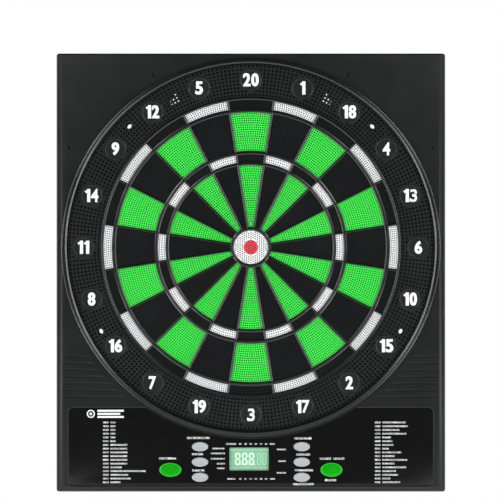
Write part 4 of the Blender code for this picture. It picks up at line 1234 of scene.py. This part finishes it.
def finish_carried_over():
    """Materials for the CAD pieces that show as they are."""
    finishes = {"rubber_mat": RUBBER, "sensor_membrane": FILM, "backing_plate": ABS_BACK,
                "speaker": CONE_PAPER, "keypad_left": SILICONE, "keypad_right": SILICONE, "main_board": BOARD,
                "battery_contact_left": STEEL, "battery_contact_right": STEEL, "power_jack": WEB_ABS}
    for node, finish in finishes.items():
        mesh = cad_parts[node].data
        mesh.materials.clear()
        mesh.materials.append(finish)


# --- studio --------------------------------------------------------------------------------

def softbox(name, place, size, power, aim=(0.0, 0.0, 0.0)):
    """Oblong area light at a place in metres, turned towards the bull's-eye or another point."""
    deselect()
    direction = (Vector(aim) - Vector(place)).to_track_quat("-Z", "Y").to_euler()
    bpy.ops.object.light_add(type="AREA", location=place, rotation=direction)
    light = bpy.context.object
    light.name = name
    light.data.shape = "RECTANGLE"
    light.data.size, light.data.size_y = size
    light.data.energy = power
    light.visible_camera = False


def make_studio():
    """Pale floor far below the hung board, white surround, soft lights and the camera in front."""
    deselect()
    bpy.ops.mesh.primitive_plane_add(size=FLOOR_SIZE, location=(0.0, 0.0, -HANGING_HEIGHT))
    floor = settled("studio_floor")
    paper, tree, shader, place = new_finish("white_studio_paper", Roughness=0.9)
    fibre = add_node(tree, "ShaderNodeTexNoise", {"Vector": place, "Scale": 8.0, "Detail": 2.0})
    tone(tree, shader, fibre.outputs["Fac"], "F4F4F4", "FAFAFA")
    floor.data.materials.append(paper)
    world = bpy.data.worlds.new("white_surround")
    bpy.context.scene.world = world
    world.use_nodes = True
    sky = world.node_tree
    backdrop = sky.nodes["Background"]
    path = add_node(sky, "ShaderNodeLightPath", {})
    ambient = add_node(sky, "ShaderNodeMapRange", {"Value": path.outputs["Is Camera Ray"],
                                                   "To Min": AMBIENT, "To Max": 1.0})
    backdrop.inputs["Color"].default_value = (1.0, 1.0, 1.0, 1.0)
    sky.links.new(ambient.outputs["Result"], backdrop.inputs["Strength"])
    for side, name in ((-1, "left"), (1, "right")):
        softbox(f"key_{name}", (side * 1.75, -1.6, 1.35), (1.0, 1.0), KEY_POWER)
        softbox(f"fill_{name}", (side * 1.75, -1.6, -1.15), (1.0, 1.0), FILL_POWER)
        softbox(f"strip_{name}", (side * 2.4, -0.35, 0.1), (0.4, 3.4), STRIP_POWER)
        softbox(f"glint_{name}", (side * 1.95, -1.6, 0.2), (0.22, 0.22), GLINT_POWER)
        softbox(f"rear_{name}", (side * 1.4, 2.2, 1.2), (1.4, 1.4), REAR_POWER)
    softbox("floor_wash", (0.0, 0.0, FLOOR_LIGHT_Z), (5.0, 5.0), FLOOR_POWER, (0.0, 0.0, -HANGING_HEIGHT))
    bpy.ops.object.camera_add(location=(-0.001, -FACE * MM - CAMERA_DISTANCE, -0.0031), rotation=FACING)
    camera = bpy.context.object
    camera.data.lens = 140.0
    camera.data.sensor_width = 36.0
    bpy.context.scene.camera = camera
    bpy.context.scene.view_settings.view_transform = "Standard"


deselect()
make_front_housing()
make_catch_ring()
make_numbers()
make_spider()
make_target()
make_bulls()
make_fascia()
make_buttons()
make_print()
make_badge()
make_display()
make_back_cover()
make_battery_door()
make_cells()
make_screws()
finish_carried_over()
make_studio()
